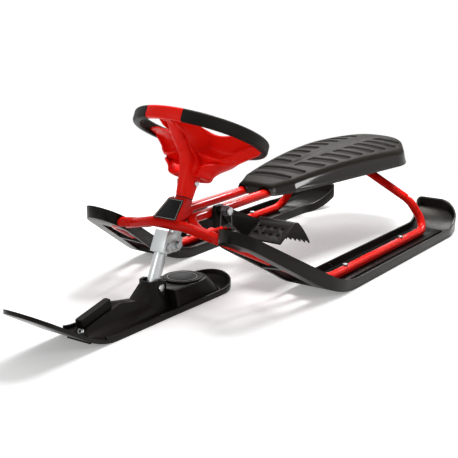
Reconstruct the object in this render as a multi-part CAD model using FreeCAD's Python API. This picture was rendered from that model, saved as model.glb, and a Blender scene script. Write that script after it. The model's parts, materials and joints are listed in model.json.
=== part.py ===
import FreeCAD, Part
import math
import os

# Steering sled. Millimetres, +X forward, +Y left, +Z up, origin at the bottom centre.
# The tube frame carries the seat and two runners; the wheel turns a front ski with a tow reel.

Vector = FreeCAD.Vector

# Overall
overall_length = 1300.0
overall_width = 520.0
cut_overrun = 30.0
rest_gap = 0.2
turn_gap = 0.06
fit_share = 0.995

# Steering line
steer_tilt = 25.9
ski_nose_length = 355.0
pivot_z = 49.0
leg_offset = 27.0
wheel_height = 313.0
head_low = 126.0
head_length = 54.0

# Frame tubes
tube_d = 20.0
tube_wall = 1.6
backbone_z = 166.0
backbone_y = 28.0
backbone_overhang = 30.0
turn_ahead = 6.0
turn_radius = 28.0
shoulder_ahead = 16.0
shoulder_y = 62.0
shoulder_z = 149.0
shoulder_radius = 48.0
toe_ahead = 38.0
toe_y = 144.0
toe_z = 144.0
toe_radius = 32.0
toe_joint = 36.0
toe_above_sole = 7.0
rail_foot_back = 17.0
rail_rise_in = 27.0
hoop_from_tail = 150.0
hoop_lean = 14.0
hoop_radius = 34.0
hoop_knee_y = 166.0
hoop_knee_z = 84.0
hoop_knee_radius = 60.0
hoop_top_y = 44.0
hoop_top_radius = 60.0
cross_ahead = 33.0
cross_z = 160.0
cross_flat_y = 38.0
cross_radius = 24.0
cross_end_ahead = -14.0
cross_end_y = 112.0
cross_end_z = 141.0
plug_head = 3.0
plug_depth = 15.0

# Head
head_wall = 2.8
bush_flange = 3.0
bush_flange_width = 1.5
bush_depth = 16.0
washer_t = 2.0
gusset_t = 2.5
gusset_top_z = 203.5
gusset_top_ahead = 24.0
gusset_top_half = 20.0
gusset_slope = 38.6
gusset_low_half = 29.5
gusset_rear = 8.0
label_t = 1.2
label_margin = 1.5
label_corner = 3.0

# Column, wheel
column_d = 25.0
column_wall = 2.0
column_low = 76.0
sleeve_d = 42.0
sleeve_low_d = 33.0
sleeve_clear = 1.0
sleeve_top = 262.0
column_top_gap = 14.0
cap_t = 3.0
ring_radius = 128.0
rim_core_width = 9.0
rim_core_height = 17.0
rim_core_corner = 3.0
grip_width = 16.0
grip_height = 25.0
grip_corner = 5.5
grip_start = 18.0
grip_end = 166.0
dish_t = 4.0
dish_root = 223.0
dish_root_d = 76.0
dish_edge_drop = 3.0
dish_corner_share = 0.4
scoop_radius = 30.0
scoop_ahead = 22.0
scoop_drop = 25.0
spine_width = 32.0
spine_low = 228.0
spine_low_knee = 34.0
spine_low_knee_drop = 42.0
spine_top = 256.0
spine_top_knee = 28.0
spine_top_knee_drop = 16.0
rear_open_from = 130.0
rear_open_in = 74.0
clamp_height = 213.0
clamp_d = 6.0
clamp_head_d = 11.0
clamp_head = 4.0
clamp_nut = 5.0

# Fork and leg
fork_t = 2.5
fork_top = 107.0
fork_low = 64.0
fork_back = 10.0
fork_heel_run = 38.0
fork_heel_rise = 17.0
leg_top = 102.0
leg_below_pivot = 13.0
leg_wall = 2.0
fork_bolt_d = 8.0
fork_bolt_high = 90.0
fork_bolt_low = 78.0
bolt_head_share = 0.62
bolt_across_share = 1.65
nut_share = 0.8

# Front ski
ski_half = 55.0
ski_nose_half = 50.0
ski_tail_half = 61.0
ski_tail_length = 219.0
ski_nose_round = 47.0
ski_tail_round = 60.0
ski_floor = 5.0
ski_rim = 12.0
ski_rim_t = 4.0
ski_nose_rim = 7.0
ski_nose_rim_from = 190.0
ski_rise_from = 157.0
ski_rise_radius = 151.0
ski_rise_angle = 31.0
ski_tail_rise_from = 138.0
ski_tail_rise_radius = 260.0
ski_tail_rise_angle = 20.0
tower_back = 30.0
tower_front = 26.0
tower_half = 20.0
tower_height = 64.0
tower_rear_height = 54.0
tower_flare = 9.0
tower_flare_z = 24.0
tower_flare_shares = (1.0, 0.25, 0.0)
tower_wall = 6.0
pocket_half = 13.7
pocket_floor = 22.0
ridge_shoulder_ahead = 105.0
ridge_shoulder_z = 46.0
ridge_end_ahead = 194.0
ridge_end_z = 26.0
ridge_foot_ahead = 206.0
ridge_half = 10.5
ridge_knee_half = 14.0
ridge_knee_z = 20.0
ridge_low_half = 27.0
ridge_dip_ahead = 52.0
ridge_dip_z = 36.0
drum_behind = 94.0
drum_radius = 38.0
drum_height = 40.0
drum_wall = 4.0
drum_floor = 8.0
housing_back = 12.0
housing_half = 41.0
housing_low_back = 50.0
housing_low_half = 48.0
housing_round = 36.0
housing_front_round = 6.0
cover_t = 3.0
cover_lip = 1.2
badge_radius = 33.0
badge_t = 1.2
spool_gap = 1.5
spool_flange_t = 3.0
spool_core_radius = 16.0
spool_pin_d = 8.0
pivot_bolt_d = 8.0
eyelet_radius = 7.0
eyelet_bore = 3.0
eyelet_depth = 8.0
eyelet_head = 3.0
eyelet_share = 0.62

# Tow handle
handle_length = 84.0
handle_width = 16.0
handle_t = 18.0
handle_corner = 5.0
handle_edge = 3.0
handle_from = 121.0
handle_bore_d = 5.0
handle_bore_share = 0.6

# Runners
runner_half_gap = 151.0
runner_floor = 5.0
runner_rim = 21.0
runner_rim_t = 4.0
runner_rise_angle = 31.4
runner_rise_radius = 257.0
runner_top_angle = 29.7
runner_top_back = 15.0
runner_tip_ahead = 27.0
runner_tip_outer_y = 197.0
runner_tip_inner_y = 105.0
runner_tip_round = 50.0
runner_bend_out_ahead = -226.0
runner_bend_in_ahead = -150.0
runner_bend_round = 260.0
tail_inset = 8.0
tail_rise_radius = 160.0
tail_rise_angle = 38.7
tail_outer_y = 232.0
tail_inner_y = 118.0
tail_outer_round = 66.0
tail_inner_round = 10.0
tail_bend_ahead = 112.0
tail_bend_round = 120.0
rail_z = 17.4
bed_height = 9.0
bed_half = 25.0
sole_groove_depth = 2.5
sole_groove_width = 14.0
sole_groove_shares = (0.22, 0.5, 0.78)
toe_window_half = 31.0
toe_rib_half = 5.0
toe_window_low = 214.0
toe_window_high = 22.0
toe_window_frame = 8.0
toe_rib_share = 0.5
runner_bolt_d = 6.0
runner_bolt_shares = (0.264, 0.8)
runner_nut_depth = 5.0

# Seat
seat_front_from_head = 260.0
seat_low_z = 162.0
seat_wall = 4.0
seat_apex_ahead = 180.0
seat_apex_z = 214.5
seat_front_z = 184.5
seat_cross_radius = 420.0
seat_front_half = 42.0
seat_front_round = 34.0
seat_cheek_back = 66.0
seat_cheek_half = 68.0
seat_cheek_round = 16.0
seat_hip_ahead = 111.0
seat_hip_half = 130.0
seat_hip_round = 100.0
seat_rear_half = 67.0
seat_rear_round = 60.0
seat_edge_round = 11.0
seat_lip = 3.0
seat_lip_t = 3.0
notch_gap = 4.0
tread_depth = 3.0
tread_count = 8
tread_first_back = 52.0
tread_pad_share = 0.54
tread_shift_share = 0.04
tread_sweep = 18.0
tread_spine_half = 7.0
tread_spine_grow = 2.2
tread_margin = 23.0
tread_round = 8.0
panel_count = 2
strap_length = 34.0
strap_half = 44.0
strap_t = 3.0
strap_front_back = 110.0
strap_rear_ahead = 215.0
boss_d = 22.0
seat_screw_d = 6.0
seat_screw_head = 4.0
seat_screw_head_d = 12.0
seat_screw_y = 9.0

# Brakes
brake_back = 70.0
brake_z = 173.0
brake_pin_d = 8.0
brake_pin_head_d = 16.0
brake_pin_head = 4.0
bracket_t = 9.0
bracket_length = 66.0
bracket_height = 44.0
bracket_ahead = 14.0
bracket_above = 9.0
bracket_outline_shares = ((0.0, 0.0), (0.0, 0.78), (0.06, 1.0), (0.40, 1.0), (0.50, 0.66), (1.0, 0.48),
                          (1.0, 0.0))
bracket_shelf = 4.0
bracket_bolt_d = 5.0
bracket_bolt_back = 34.0
arm_t = 7.0
arm_gap = 0.6
arm_half = 9.0
pedal_out_y = 137.0
pedal_t = 4.0
pedal_front_back = 83.0
pedal_front_drop = 76.0
pedal_top_back = 138.0
pedal_top_drop = 49.0
claw_back = 152.0
claw_drop = 48.0
claw_bend_back = 145.0
claw_bend_drop = 46.5
claw_mid_back = 176.0
claw_mid_drop = 70.0
claw_tip_back = 200.0
claw_tip_drop = 100.0
tooth_count = 8
tooth_depth = 9.0
dimple_count = 4
dimple_rows = 2
dimple_d = 8.0
spring_wire = 2.4
spring_radius = 9.0
spring_turns = 3.5
spring_pitch = 3.2
spring_leg = 30.0
spring_side_gap = 2.2

# Derived places
tilt = math.radians(steer_tilt)
tube_r = tube_d / 2
half_length = overall_length / 2
half_width = overall_width / 2
pivot_x = half_length - ski_nose_length
foot_x = pivot_x - leg_offset * math.cos(tilt)
foot_z = pivot_z - leg_offset * math.sin(tilt)
head_x = foot_x - (backbone_z - foot_z) * math.tan(tilt)
toe_x = head_x + toe_ahead
runner_tip_x = toe_x + runner_tip_ahead
tail_x = tail_inset - half_length
hoop_x = tail_x + hoop_from_tail
rail_y = (half_width + runner_half_gap) / 2
hoop_top_z = backbone_z - tube_d - rest_gap
seat_front_x = head_x - seat_front_from_head
brake_x = head_x - brake_back
column_r = column_d / 2
gusset_low_z = cross_z + tube_r + rest_gap
head_outer_r = backbone_y - tube_r - rest_gap
head_bore_r = head_outer_r - head_wall
rise = math.radians(runner_rise_angle)
sole_corner_x = toe_x - (toe_z - toe_above_sole) / math.tan(rise)
rail_foot_x = sole_corner_x - rail_foot_back
sole_rise_x = sole_corner_x - runner_rise_radius * math.tan(rise / 2)
tail_rise_x = tail_x + tail_rise_radius * math.sin(math.radians(tail_rise_angle))
drum_x = pivot_x - drum_behind
seat_apex_x = seat_apex_ahead - half_length
seat_run = seat_front_x - seat_apex_x
seat_sag = seat_apex_z - seat_front_z
seat_long_radius = (seat_run ** 2 + seat_sag ** 2) / (2 * seat_sag)
tread_pitch = (seat_front_x + half_length) / (panel_count + tread_count + 2)
tread_pad = tread_pitch * tread_pad_share
rail_rise_radius = runner_rise_radius - rail_rise_in
ORIGIN = Vector(0, 0, 0)
ACROSS = Vector(0, 1, 0)
UP = Vector(0, 0, 1)


def box(x0, x1, y0, y1, z0, z1):
    """Block between two corners."""
    return Part.makeBox(x1 - x0, y1 - y0, z1 - z0, Vector(x0, y0, z0))


def rod(start, end, radius):
    """Solid round bar between two points."""
    return Part.makeCylinder(radius, (end - start).Length, start, end - start)


def mirrored(shape):
    """The same piece on the other side of the sled."""
    return shape.mirror(ORIGIN, ACROSS)


def rounded_edges(points, radii, closed=False):
    """Straight runs through the points, joined by tangent arcs that shrink where a run is too short."""
    count = len(points)
    corners = list(range(count)) if closed else list(range(1, count - 1))
    sides = [(index, (index + 1) % count) for index in range(count if closed else count - 1)]
    halves = {}
    reaches = {}
    for place, index in enumerate(corners):
        back = points[index - 1] - points[index]
        ahead = points[(index + 1) % count] - points[index]
        halves[index] = back.getAngle(ahead) / 2
        reaches[index] = radii[place] / math.tan(halves[index])
    for start, end in sides:
        room = (points[end] - points[start]).Length * fit_share
        needed = reaches.get(start, 0) + reaches.get(end, 0)
        for index in (start, end):
            if needed > room and index in reaches:
                reaches[index] = reaches[index] * room / needed
    trims = {}
    for index in corners:
        here = points[index]
        back = points[index - 1] - here
        ahead = points[(index + 1) % count] - here
        back.normalize()
        ahead.normalize()
        inward = back + ahead
        inward.normalize()
        half = halves[index]
        depth = reaches[index] * (1 / math.cos(half) - math.tan(half))
        trims[index] = (here + back * reaches[index], here + inward * depth, here + ahead * reaches[index])
    edges = []
    for start, end in sides:
        if start in trims:
            edges.append(Part.Arc(*trims[start]).toShape())
        line_start = trims[start][2] if start in trims else points[start]
        line_end = trims[end][0] if end in trims else points[end]
        edges.append(Part.makeLine(line_start, line_end))
    return edges


def flat_face(points, radii):
    """Flat face inside a closed outline with rounded corners."""
    return Part.Face(Part.Wire(rounded_edges(points, radii, True)))


def polygon_face(points):
    """Flat face inside straight sides."""
    return Part.Face(Part.makePolygon(points + [points[0]]))


def swept(points, radii, radius):
    """Solid round bar along a bent path."""
    path = Part.Wire(rounded_edges(points, radii))
    start = points[0]
    ring = Part.Wire([Part.makeCircle(radius, start, points[1] - start)])
    return path.makePipeShell([ring], True, False)


def bent_tube(points, radii, radius, wall):
    """Hollow tube along a bent path."""
    return swept(points, radii, radius).cut(swept(points, radii, radius - wall))


def on_column(shape):
    """Moves a piece drawn round the upright axis onto the inclined steering column."""
    shape.Placement = FreeCAD.Placement(Vector(foot_x, 0, foot_z), FreeCAD.Rotation(ACROSS, -steer_tilt))
    return shape


def pipe(outer, inner, low, high):
    """Upright round pipe on the axis."""
    return rod(Vector(0, 0, low), Vector(0, 0, high),
               outer).cut(rod(Vector(0, 0, low), Vector(0, 0, high), inner))


def hexagon(centre, axis, across, depth):
    """Hexagonal head or nut that starts at the centre and runs along the axis."""
    turn = FreeCAD.Rotation(UP, axis)
    corners = []
    for step in range(6):
        angle = math.radians(60 * step)
        corners.append(centre + turn.multVec(Vector(math.cos(angle), math.sin(angle),
                                                    0)) * (across / math.sqrt(3)))
    run = Vector(axis)
    run.normalize()
    return polygon_face(corners).extrude(run * depth)


def hex_bolt(start, end, diameter):
    """Bolt with its head outside the start point."""
    axis = end - start
    shank = rod(start, end, diameter / 2)
    back = Vector(axis)
    back.normalize()
    head = hexagon(start, back * -1, diameter * bolt_across_share, diameter * bolt_head_share)
    return shank.fuse(head).removeSplitter()


def hex_nut(start, axis, diameter):
    """Nut with a running fit on its bolt."""
    nut = hexagon(start, axis, diameter * bolt_across_share, diameter * nut_share)
    run = Vector(axis)
    run.normalize()
    return nut.cut(rod(start - run * cut_overrun, start + run * cut_overrun, diameter / 2 + turn_gap))


def toe_joint_point():
    """Where the backbone tube and the rail tube meet inside the runner tip."""
    toe = Vector(toe_x, toe_y, toe_z)
    back = Vector(head_x + shoulder_ahead, shoulder_y, shoulder_z) - toe
    back.normalize()
    return toe + back * toe_joint


def backbone_path():
    points = [Vector(hoop_x - backbone_overhang, backbone_y, backbone_z),
              Vector(head_x + turn_ahead, backbone_y, backbone_z),
              Vector(head_x + shoulder_ahead, shoulder_y, shoulder_z), toe_joint_point()]
    return points, [turn_radius, shoulder_radius]


def rail_path():
    points = [toe_joint_point(), Vector(toe_x, toe_y, toe_z), Vector(rail_foot_x, rail_y, rail_z),
              Vector(hoop_x - hoop_lean, rail_y, rail_z), Vector(hoop_x, hoop_knee_y, hoop_knee_z),
              Vector(hoop_x, hoop_top_y, hoop_top_z), Vector(hoop_x, 0, hoop_top_z)]
    return points, [toe_radius, rail_rise_radius, hoop_radius, hoop_knee_radius, hoop_top_radius]


def cross_path():
    x = foot_x - (cross_z - foot_z) * math.tan(tilt) + cross_ahead
    right = [Vector(x + cross_end_ahead, -cross_end_y, cross_end_z), Vector(x, -cross_flat_y, cross_z)]
    left = [Vector(x, cross_flat_y, cross_z), Vector(x + cross_end_ahead, cross_end_y, cross_end_z)]
    return right + left, [cross_radius, cross_radius]


def runner_bolt_places():
    return [hoop_x + (rail_foot_x - hoop_x) * share for share in runner_bolt_shares]


def backbone_tube():
    return bent_tube(*backbone_path(), tube_r, tube_wall)


def rail_tube():
    tube = bent_tube(*rail_path(), tube_r, tube_wall)
    for x in runner_bolt_places():
        hole = rod(Vector(x, rail_y, -cut_overrun), Vector(x, rail_y, rail_z + tube_d),
                   runner_bolt_d / 2 + turn_gap)
        tube = tube.cut(hole)
    return tube


def cross_tube():
    tube = bent_tube(*cross_path(), tube_r, tube_wall)
    side = swept(*backbone_path(), tube_r + rest_gap)
    end = swept(rail_path()[0][:3], rail_path()[1][:1], tube_r + rest_gap)
    for cutter in (side, end):
        tube = tube.cut(cutter).cut(mirrored(cutter))
    return max(tube.Solids, key=lambda solid: solid.Volume)


def end_plug():
    x = hoop_x - backbone_overhang
    head = rod(Vector(x - plug_head, 0, backbone_z), Vector(x, 0, backbone_z), tube_r)
    stem = rod(Vector(x, 0, backbone_z), Vector(x + plug_depth, 0, backbone_z),
               tube_r - tube_wall - turn_gap)
    plug = head.fuse(stem).removeSplitter()
    plug.translate(Vector(0, backbone_y, 0))
    return plug


def head_tube():
    return on_column(pipe(head_outer_r, head_bore_r, head_low, head_low + head_length))


def bush(upper):
    """Flanged bush pressed into one end of the head tube."""
    inner = column_r + turn_gap
    flange_r = head_bore_r + bush_flange_width
    body = pipe(head_bore_r - turn_gap, inner, head_low, head_low + bush_depth)
    flange = pipe(flange_r, inner, head_low - bush_flange, head_low)
    part = body.fuse(flange).removeSplitter()
    if upper:
        middle = Vector(0, 0, head_low + head_length / 2)
        part = part.mirror(middle, UP)
    return on_column(Part.Compound([part]))


def washer(upper):
    low = head_low - bush_flange - rest_gap - washer_t
    if upper:
        low = head_low + head_length + bush_flange + rest_gap
    return on_column(pipe(head_bore_r, column_r + turn_gap, low, low + washer_t))


def gusset_wedge(inset):
    """Tapered block in front of the head tube; the inset makes the hollow one."""
    slope = math.radians(gusset_slope)
    top_x = foot_x - (gusset_top_z - foot_z) * math.tan(tilt) + gusset_top_ahead - inset / math.sin(slope)
    low_x = top_x + (gusset_top_z - gusset_low_z) / math.tan(slope)
    back_x = head_x - gusset_rear
    low_z = gusset_low_z - (cut_overrun if inset else 0)
    top_z = gusset_top_z + inset
    side = polygon_face([Vector(back_x - inset, 0, low_z),
                         Vector(low_x + (gusset_low_z - low_z) / math.tan(slope), 0, low_z),
                         Vector(top_x - (top_z - gusset_top_z) / math.tan(slope), 0, top_z),
                         Vector(back_x - inset, 0, top_z)])
    block = side.extrude(Vector(0, 2 * gusset_low_half, 0))
    block.translate(Vector(0, -gusset_low_half, 0))
    top_half = gusset_top_half - inset
    low_half = gusset_low_half - inset
    lean = (low_half - top_half) / (gusset_top_z - gusset_low_z)
    over_half = low_half + lean * cut_overrun
    under_half = top_half - lean * cut_overrun
    front = polygon_face([Vector(back_x - cut_overrun, -over_half, gusset_low_z - cut_overrun),
                          Vector(back_x - cut_overrun, over_half, gusset_low_z - cut_overrun),
                          Vector(back_x - cut_overrun, under_half, gusset_top_z + cut_overrun),
                          Vector(back_x - cut_overrun, -under_half, gusset_top_z + cut_overrun)])
    return block.common(front.extrude(Vector(low_x - back_x + 3 * cut_overrun, 0, 0)))


def head_gusset():
    """Folded sheet between the head tube, the backbone tubes and the cross tube."""
    sheet = gusset_wedge(0).cut(gusset_wedge(gusset_t))
    side = swept(*backbone_path(), tube_r + rest_gap)
    column = rod(Vector(0, 0, head_low - cut_overrun), Vector(0, 0, wheel_height), head_outer_r + rest_gap)
    sheet = sheet.cut(side).cut(mirrored(side)).cut(swept(*cross_path(), tube_r + rest_gap))
    sheet = sheet.cut(on_column(column))
    return max(sheet.Solids, key=lambda solid: solid.Volume)


def label_plate():
    """Bare plate on the front of the gusset."""
    slope = math.radians(gusset_slope)
    top_x = foot_x - (gusset_top_z - foot_z) * math.tan(tilt) + gusset_top_ahead
    along = Vector(math.cos(slope), 0, -math.sin(slope))
    out = Vector(math.sin(slope), 0, math.cos(slope))
    lean = (gusset_low_half - gusset_top_half) / (gusset_top_z - gusset_low_z) * math.sin(slope)
    length = (gusset_top_z - gusset_low_z) / math.sin(slope) - 2 * label_margin
    start = Vector(top_x, 0, gusset_top_z) + along * label_margin + out * rest_gap
    top_half = gusset_top_half - label_margin
    low_half = top_half + lean * length
    end = start + along * length
    corners = [start - ACROSS * top_half, start + ACROSS * top_half, end + ACROSS * low_half,
               end - ACROSS * low_half]
    return flat_face(corners, [label_corner] * 4).extrude(out * label_t)


def steering_column():
    top = sleeve_top - column_top_gap
    tube = pipe(column_r, column_r - column_wall, column_low, top)
    for height in (clamp_height, fork_bolt_high):
        hole = rod(Vector(0, -cut_overrun, height), Vector(0, cut_overrun, height),
                   (clamp_d if height == clamp_height else fork_bolt_d) / 2 + turn_gap)
        tube = tube.cut(hole)
    return on_column(tube)


def column_cap():
    top = sleeve_top - column_top_gap + rest_gap
    return on_column(rod(Vector(0, 0, top), Vector(0, 0, top + cap_t), column_r))


def round_block(corners):
    """Turns a half section of (radius, height) corners about the column."""
    return polygon_face([Vector(radius, 0, height) for radius, height in corners]).revolve(ORIGIN, UP, 360)


def dish_block(inset):
    """Dish under the ring, scooped out in front; the inset makes the hollow, open towards the rider."""
    top = wheel_height - dish_edge_drop
    slope = math.atan2(top - dish_root, ring_radius - dish_root_d / 2)
    lift = inset / math.cos(slope)
    root_r = dish_root_d / 2 - inset * dish_corner_share
    block = round_block([(0, dish_root + inset), (root_r, dish_root + inset), (ring_radius, top + lift),
                         (0, top + lift)])
    reach = scoop_radius + inset
    centre = Vector(scoop_ahead, -ring_radius - cut_overrun, wheel_height - scoop_drop)
    scoop = rod(centre, centre + ACROSS * 2 * (ring_radius + cut_overrun), reach)
    front = box(scoop_ahead - inset, ring_radius + cut_overrun, centre.y, -centre.y, dish_root - cut_overrun,
                wheel_height + cut_overrun)
    return block.cut(scoop).cut(front)


def wheel_spine():
    """Curved spoke from the sleeve up to the front of the ring."""
    front = Vector(ring_radius - rim_core_width / 4, 0, wheel_height)
    low = Vector(sleeve_d / 2 - dish_t, 0, spine_low)
    low_knee = Vector(sleeve_d / 2 + spine_low_knee, 0, wheel_height - spine_low_knee_drop)
    high = Vector(0, 0, spine_top)
    high_knee = Vector(sleeve_d / 2 + spine_top_knee, 0, wheel_height - spine_top_knee_drop)
    drop = Vector(0, 0, -rim_core_height / 2)
    edges = [Part.Arc(low, low_knee, front + drop).toShape(), Part.makeLine(front + drop, front),
             Part.Arc(front, high_knee, high).toShape(), Part.makeLine(high, low)]
    spine = Part.Face(Part.Wire(edges)).extrude(ACROSS * spine_width)
    spine.translate(ACROSS * (-spine_width / 2))
    return spine


def sector(inner, outer, start, end, low, high):
    """Upright ring segment between two angles, the straight-ahead direction being zero."""
    wedge = Part.makeCylinder(outer, high - low, Vector(0, 0, low), UP, end - start)
    wedge.rotate(ORIGIN, UP, start)
    return wedge.cut(rod(Vector(0, 0, low), Vector(0, 0, high), inner))


def rim_section(width, height, corner):
    """Upright oblong with rounded corners where the ring crosses the straight-ahead plane."""
    inner = ring_radius - width / 2
    outer = ring_radius + width / 2
    low = wheel_height - height / 2
    top = wheel_height + height / 2
    points = [Vector(inner, 0, low), Vector(outer, 0, low), Vector(outer, 0, top), Vector(inner, 0, top)]
    return flat_face(points, [corner] * 4)


def rim_core():
    return rim_section(rim_core_width, rim_core_height, rim_core_corner)


def rim_full():
    return rim_section(grip_width, grip_height, grip_corner)


def ring_part(section, start, end):
    """Section turned about the column between two angles."""
    ring = section.revolve(ORIGIN, UP, end - start)
    ring.rotate(ORIGIN, UP, start)
    return ring


def bare_rim():
    """The two stretches of the ring between the grips, as thick as the grips."""
    end = grip_start - math.degrees(rest_gap / ring_radius)
    rear = 180 - grip_end - math.degrees(rest_gap / ring_radius)
    return [ring_part(rim_full(), -end, end), ring_part(rim_full(), 180 - rear, 180 + rear)]


def wheel_moulding():
    """Sleeve, dish, spine and rim core, drawn round the upright axis."""
    sleeve_low = head_low + head_length + bush_flange + washer_t + rest_gap + sleeve_clear
    high = wheel_height + cut_overrun
    dish = dish_block(0).cut(dish_block(dish_t))
    rear = sector(rear_open_in, ring_radius - grip_width, rear_open_from, 360 - rear_open_from, sleeve_low,
                  high)
    dish = dish.cut(rear)
    sleeve = round_block([(0, sleeve_low), (sleeve_low_d / 2, sleeve_low), (sleeve_d / 2, dish_root),
                          (sleeve_d / 2, sleeve_top), (0, sleeve_top)])
    body = sleeve.fuse([dish, wheel_spine(), ring_part(rim_core(), 0, 360)] + bare_rim())
    body = body.cut(rod(Vector(0, 0, sleeve_low - cut_overrun), Vector(0, 0, high), column_r + turn_gap))
    screw = rod(Vector(0, -sleeve_d, clamp_height), Vector(0, sleeve_d, clamp_height),
                clamp_d / 2 + turn_gap)
    seat = rod(Vector(0, clamp_face(), clamp_height), Vector(0, sleeve_d, clamp_height), clamp_head_d)
    body = body.cut(screw).cut(seat).cut(mirrored(seat))
    return max(body.Solids, key=lambda solid: solid.Volume)


def wheel_body():
    return on_column(wheel_moulding())


def grip(start):
    """Rubber sleeve on the rim core, slit where the dish joins the core."""
    hollow = rim_section(rim_core_width + 2 * turn_gap, rim_core_height + 2 * turn_gap, rim_core_corner)
    ring = ring_part(rim_full().cut(hollow), start, start + grip_end - grip_start)
    ring = ring.cut(dish_block(0).cut(dish_block(dish_t)))
    return on_column(max(ring.Solids, key=lambda solid: solid.Volume))


def clamp_face():
    return (sleeve_d - clamp_head) / 2


def clamp_screw():
    start = Vector(0, clamp_face() + rest_gap, clamp_height)
    end = Vector(0, -clamp_face() - rest_gap - clamp_nut, clamp_height)
    head = rod(start, start + ACROSS * clamp_head, clamp_head_d / 2)
    return on_column(rod(start, end, clamp_d / 2).fuse(head).removeSplitter())


def clamp_nut_piece():
    start = Vector(0, -clamp_face() - rest_gap, clamp_height)
    nut = hexagon(start, ACROSS * -1, clamp_head_d, clamp_nut)
    return on_column(nut.cut(rod(start + ACROSS * cut_overrun, start - ACROSS * cut_overrun,
                                 clamp_d / 2 + turn_gap)))


def fork_inner():
    return column_r + rest_gap


def fork_bolt_points():
    """Where the two fork bolts cross: one through the column, one through the leg."""
    return [Vector(0, 0, fork_bolt_high), Vector(leg_offset, 0, fork_bolt_low)]


def fork_bracket():
    """Channel that joins the column to the leg set ahead of it."""
    inner = fork_inner()
    front = leg_offset + column_r + rest_gap
    outer = box(-fork_back, front + fork_t, -inner - fork_t, inner + fork_t, fork_low, fork_top)
    hollow = box(-fork_back - cut_overrun, front, -inner, inner, fork_low - cut_overrun,
                 fork_top + cut_overrun)
    bracket = outer.cut(hollow)
    heel = [Vector(fork_heel_run - fork_back, 0, fork_low), Vector(-fork_back, 0, fork_low),
            Vector(-fork_back, 0, fork_low + fork_heel_rise)]
    wedge = polygon_face(heel).extrude(ACROSS * (2 * (inner + fork_t)))
    wedge.translate(ACROSS * -(inner + fork_t))
    bracket = bracket.cut(wedge)
    for point in fork_bolt_points():
        hole = rod(point - ACROSS * cut_overrun, point + ACROSS * cut_overrun, fork_bolt_d / 2 + turn_gap)
        bracket = bracket.cut(hole)
    return on_column(bracket)


def leg_tube():
    """Leg from the fork down to the ski's pivot."""
    tube = pipe(column_r, column_r - leg_wall, -leg_below_pivot, leg_top)
    tube.translate(Vector(leg_offset, 0, 0))
    for height, diameter in ((0, pivot_bolt_d), (fork_bolt_low, fork_bolt_d)):
        centre = Vector(leg_offset, 0, height)
        tube = tube.cut(rod(centre - ACROSS * cut_overrun, centre + ACROSS * cut_overrun,
                            diameter / 2 + turn_gap))
    return on_column(tube)


def fork_bolts():
    side = fork_inner() + fork_t + rest_gap
    bolts = []
    for point in fork_bolt_points():
        end = point - ACROSS * (side + fork_bolt_d)
        bolts.append(hex_bolt(point + ACROSS * side, end, fork_bolt_d))
    return on_column(Part.Compound(bolts))


def fork_nuts():
    side = fork_inner() + fork_t + rest_gap
    nuts = [hex_nut(point - ACROSS * side, ACROSS * -1, fork_bolt_d) for point in fork_bolt_points()]
    return on_column(Part.Compound(nuts))


def side_band(low, high, flat_from, flat_to, tail, nose, top_angle, top_back):
    """Side view of a ski between two heights above its sole; tail and nose are (radius, angle, reach).
    The upper line has its own nose angle and starts to rise earlier by top_back.
    """
    def line(height, nose_angle, start):
        tail_turn = math.radians(tail[1])
        nose_turn = math.radians(nose_angle)
        tail_c = Vector(flat_from, 0, tail[0])
        nose_c = Vector(start, 0, nose[0])
        tail_r = tail[0] - height
        nose_r = nose[0] - height

        def on_tail(turn):
            return tail_c + Vector(-math.sin(turn), 0, -math.cos(turn)) * tail_r

        def on_nose(turn):
            return nose_c + Vector(math.sin(turn), 0, -math.cos(turn)) * nose_r
        tail_end = on_tail(tail_turn) + Vector(-math.cos(tail_turn), 0, math.sin(tail_turn)) * tail[2]
        nose_end = on_nose(nose_turn) + Vector(math.cos(nose_turn), 0, math.sin(nose_turn)) * nose[2]
        edges = [Part.makeLine(tail_end, on_tail(tail_turn)),
                 Part.Arc(on_tail(tail_turn), on_tail(tail_turn / 2), on_tail(0)).toShape(),
                 Part.makeLine(on_tail(0), on_nose(0)),
                 Part.Arc(on_nose(0), on_nose(nose_turn / 2), on_nose(nose_turn)).toShape(),
                 Part.makeLine(on_nose(nose_turn), nose_end)]
        return edges, tail_end, nose_end
    under, under_tail, under_nose = line(low, nose[1], flat_to)
    over, over_tail, over_nose = line(high, top_angle, flat_to - top_back)
    ends = [Part.makeLine(under_nose, over_nose), Part.makeLine(over_tail, under_tail)]
    return Part.Face(Part.Wire(Part.__sortEdges__(under + over + ends)))


def runner_band(low, high, y0, y1, early=False):
    """Slab of a runner between two heights above the sole; the wall's top line rises early."""
    nose_reach = (runner_tip_x - sole_rise_x) / math.cos(rise)
    top = (runner_top_angle, runner_top_back) if early else (runner_rise_angle, 0)
    face = side_band(low, high, tail_rise_x, sole_rise_x, (tail_rise_radius, tail_rise_angle, cut_overrun),
                     (runner_rise_radius, runner_rise_angle, nose_reach), *top)
    slab = face.extrude(Vector(0, y1 - y0, 0))
    slab.translate(Vector(0, y0, 0))
    return slab


def runner_outline():
    points = [Vector(toe_x + runner_bend_out_ahead, half_width, 0),
              Vector(runner_tip_x, runner_tip_outer_y, 0),
              Vector(runner_tip_x, runner_tip_inner_y, 0), Vector(toe_x + runner_bend_in_ahead,
                                                                  runner_half_gap, 0),
              Vector(tail_x + tail_bend_ahead, runner_half_gap, 0), Vector(tail_x, tail_inner_y, 0),
              Vector(tail_x, tail_outer_y, 0), Vector(tail_x + tail_bend_ahead, half_width, 0)]
    radii = [runner_bend_round, runner_tip_round, runner_tip_round, runner_bend_round,
             tail_bend_round, tail_inner_round, tail_outer_round, tail_bend_round]
    return Part.Wire(rounded_edges(points, radii, True))


def upright_prism(wire, height):
    """Block over a flat outline, from below the ground up."""
    block = Part.Face(wire).extrude(Vector(0, 0, height + cut_overrun))
    block.translate(Vector(0, 0, -cut_overrun))
    return block


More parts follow.
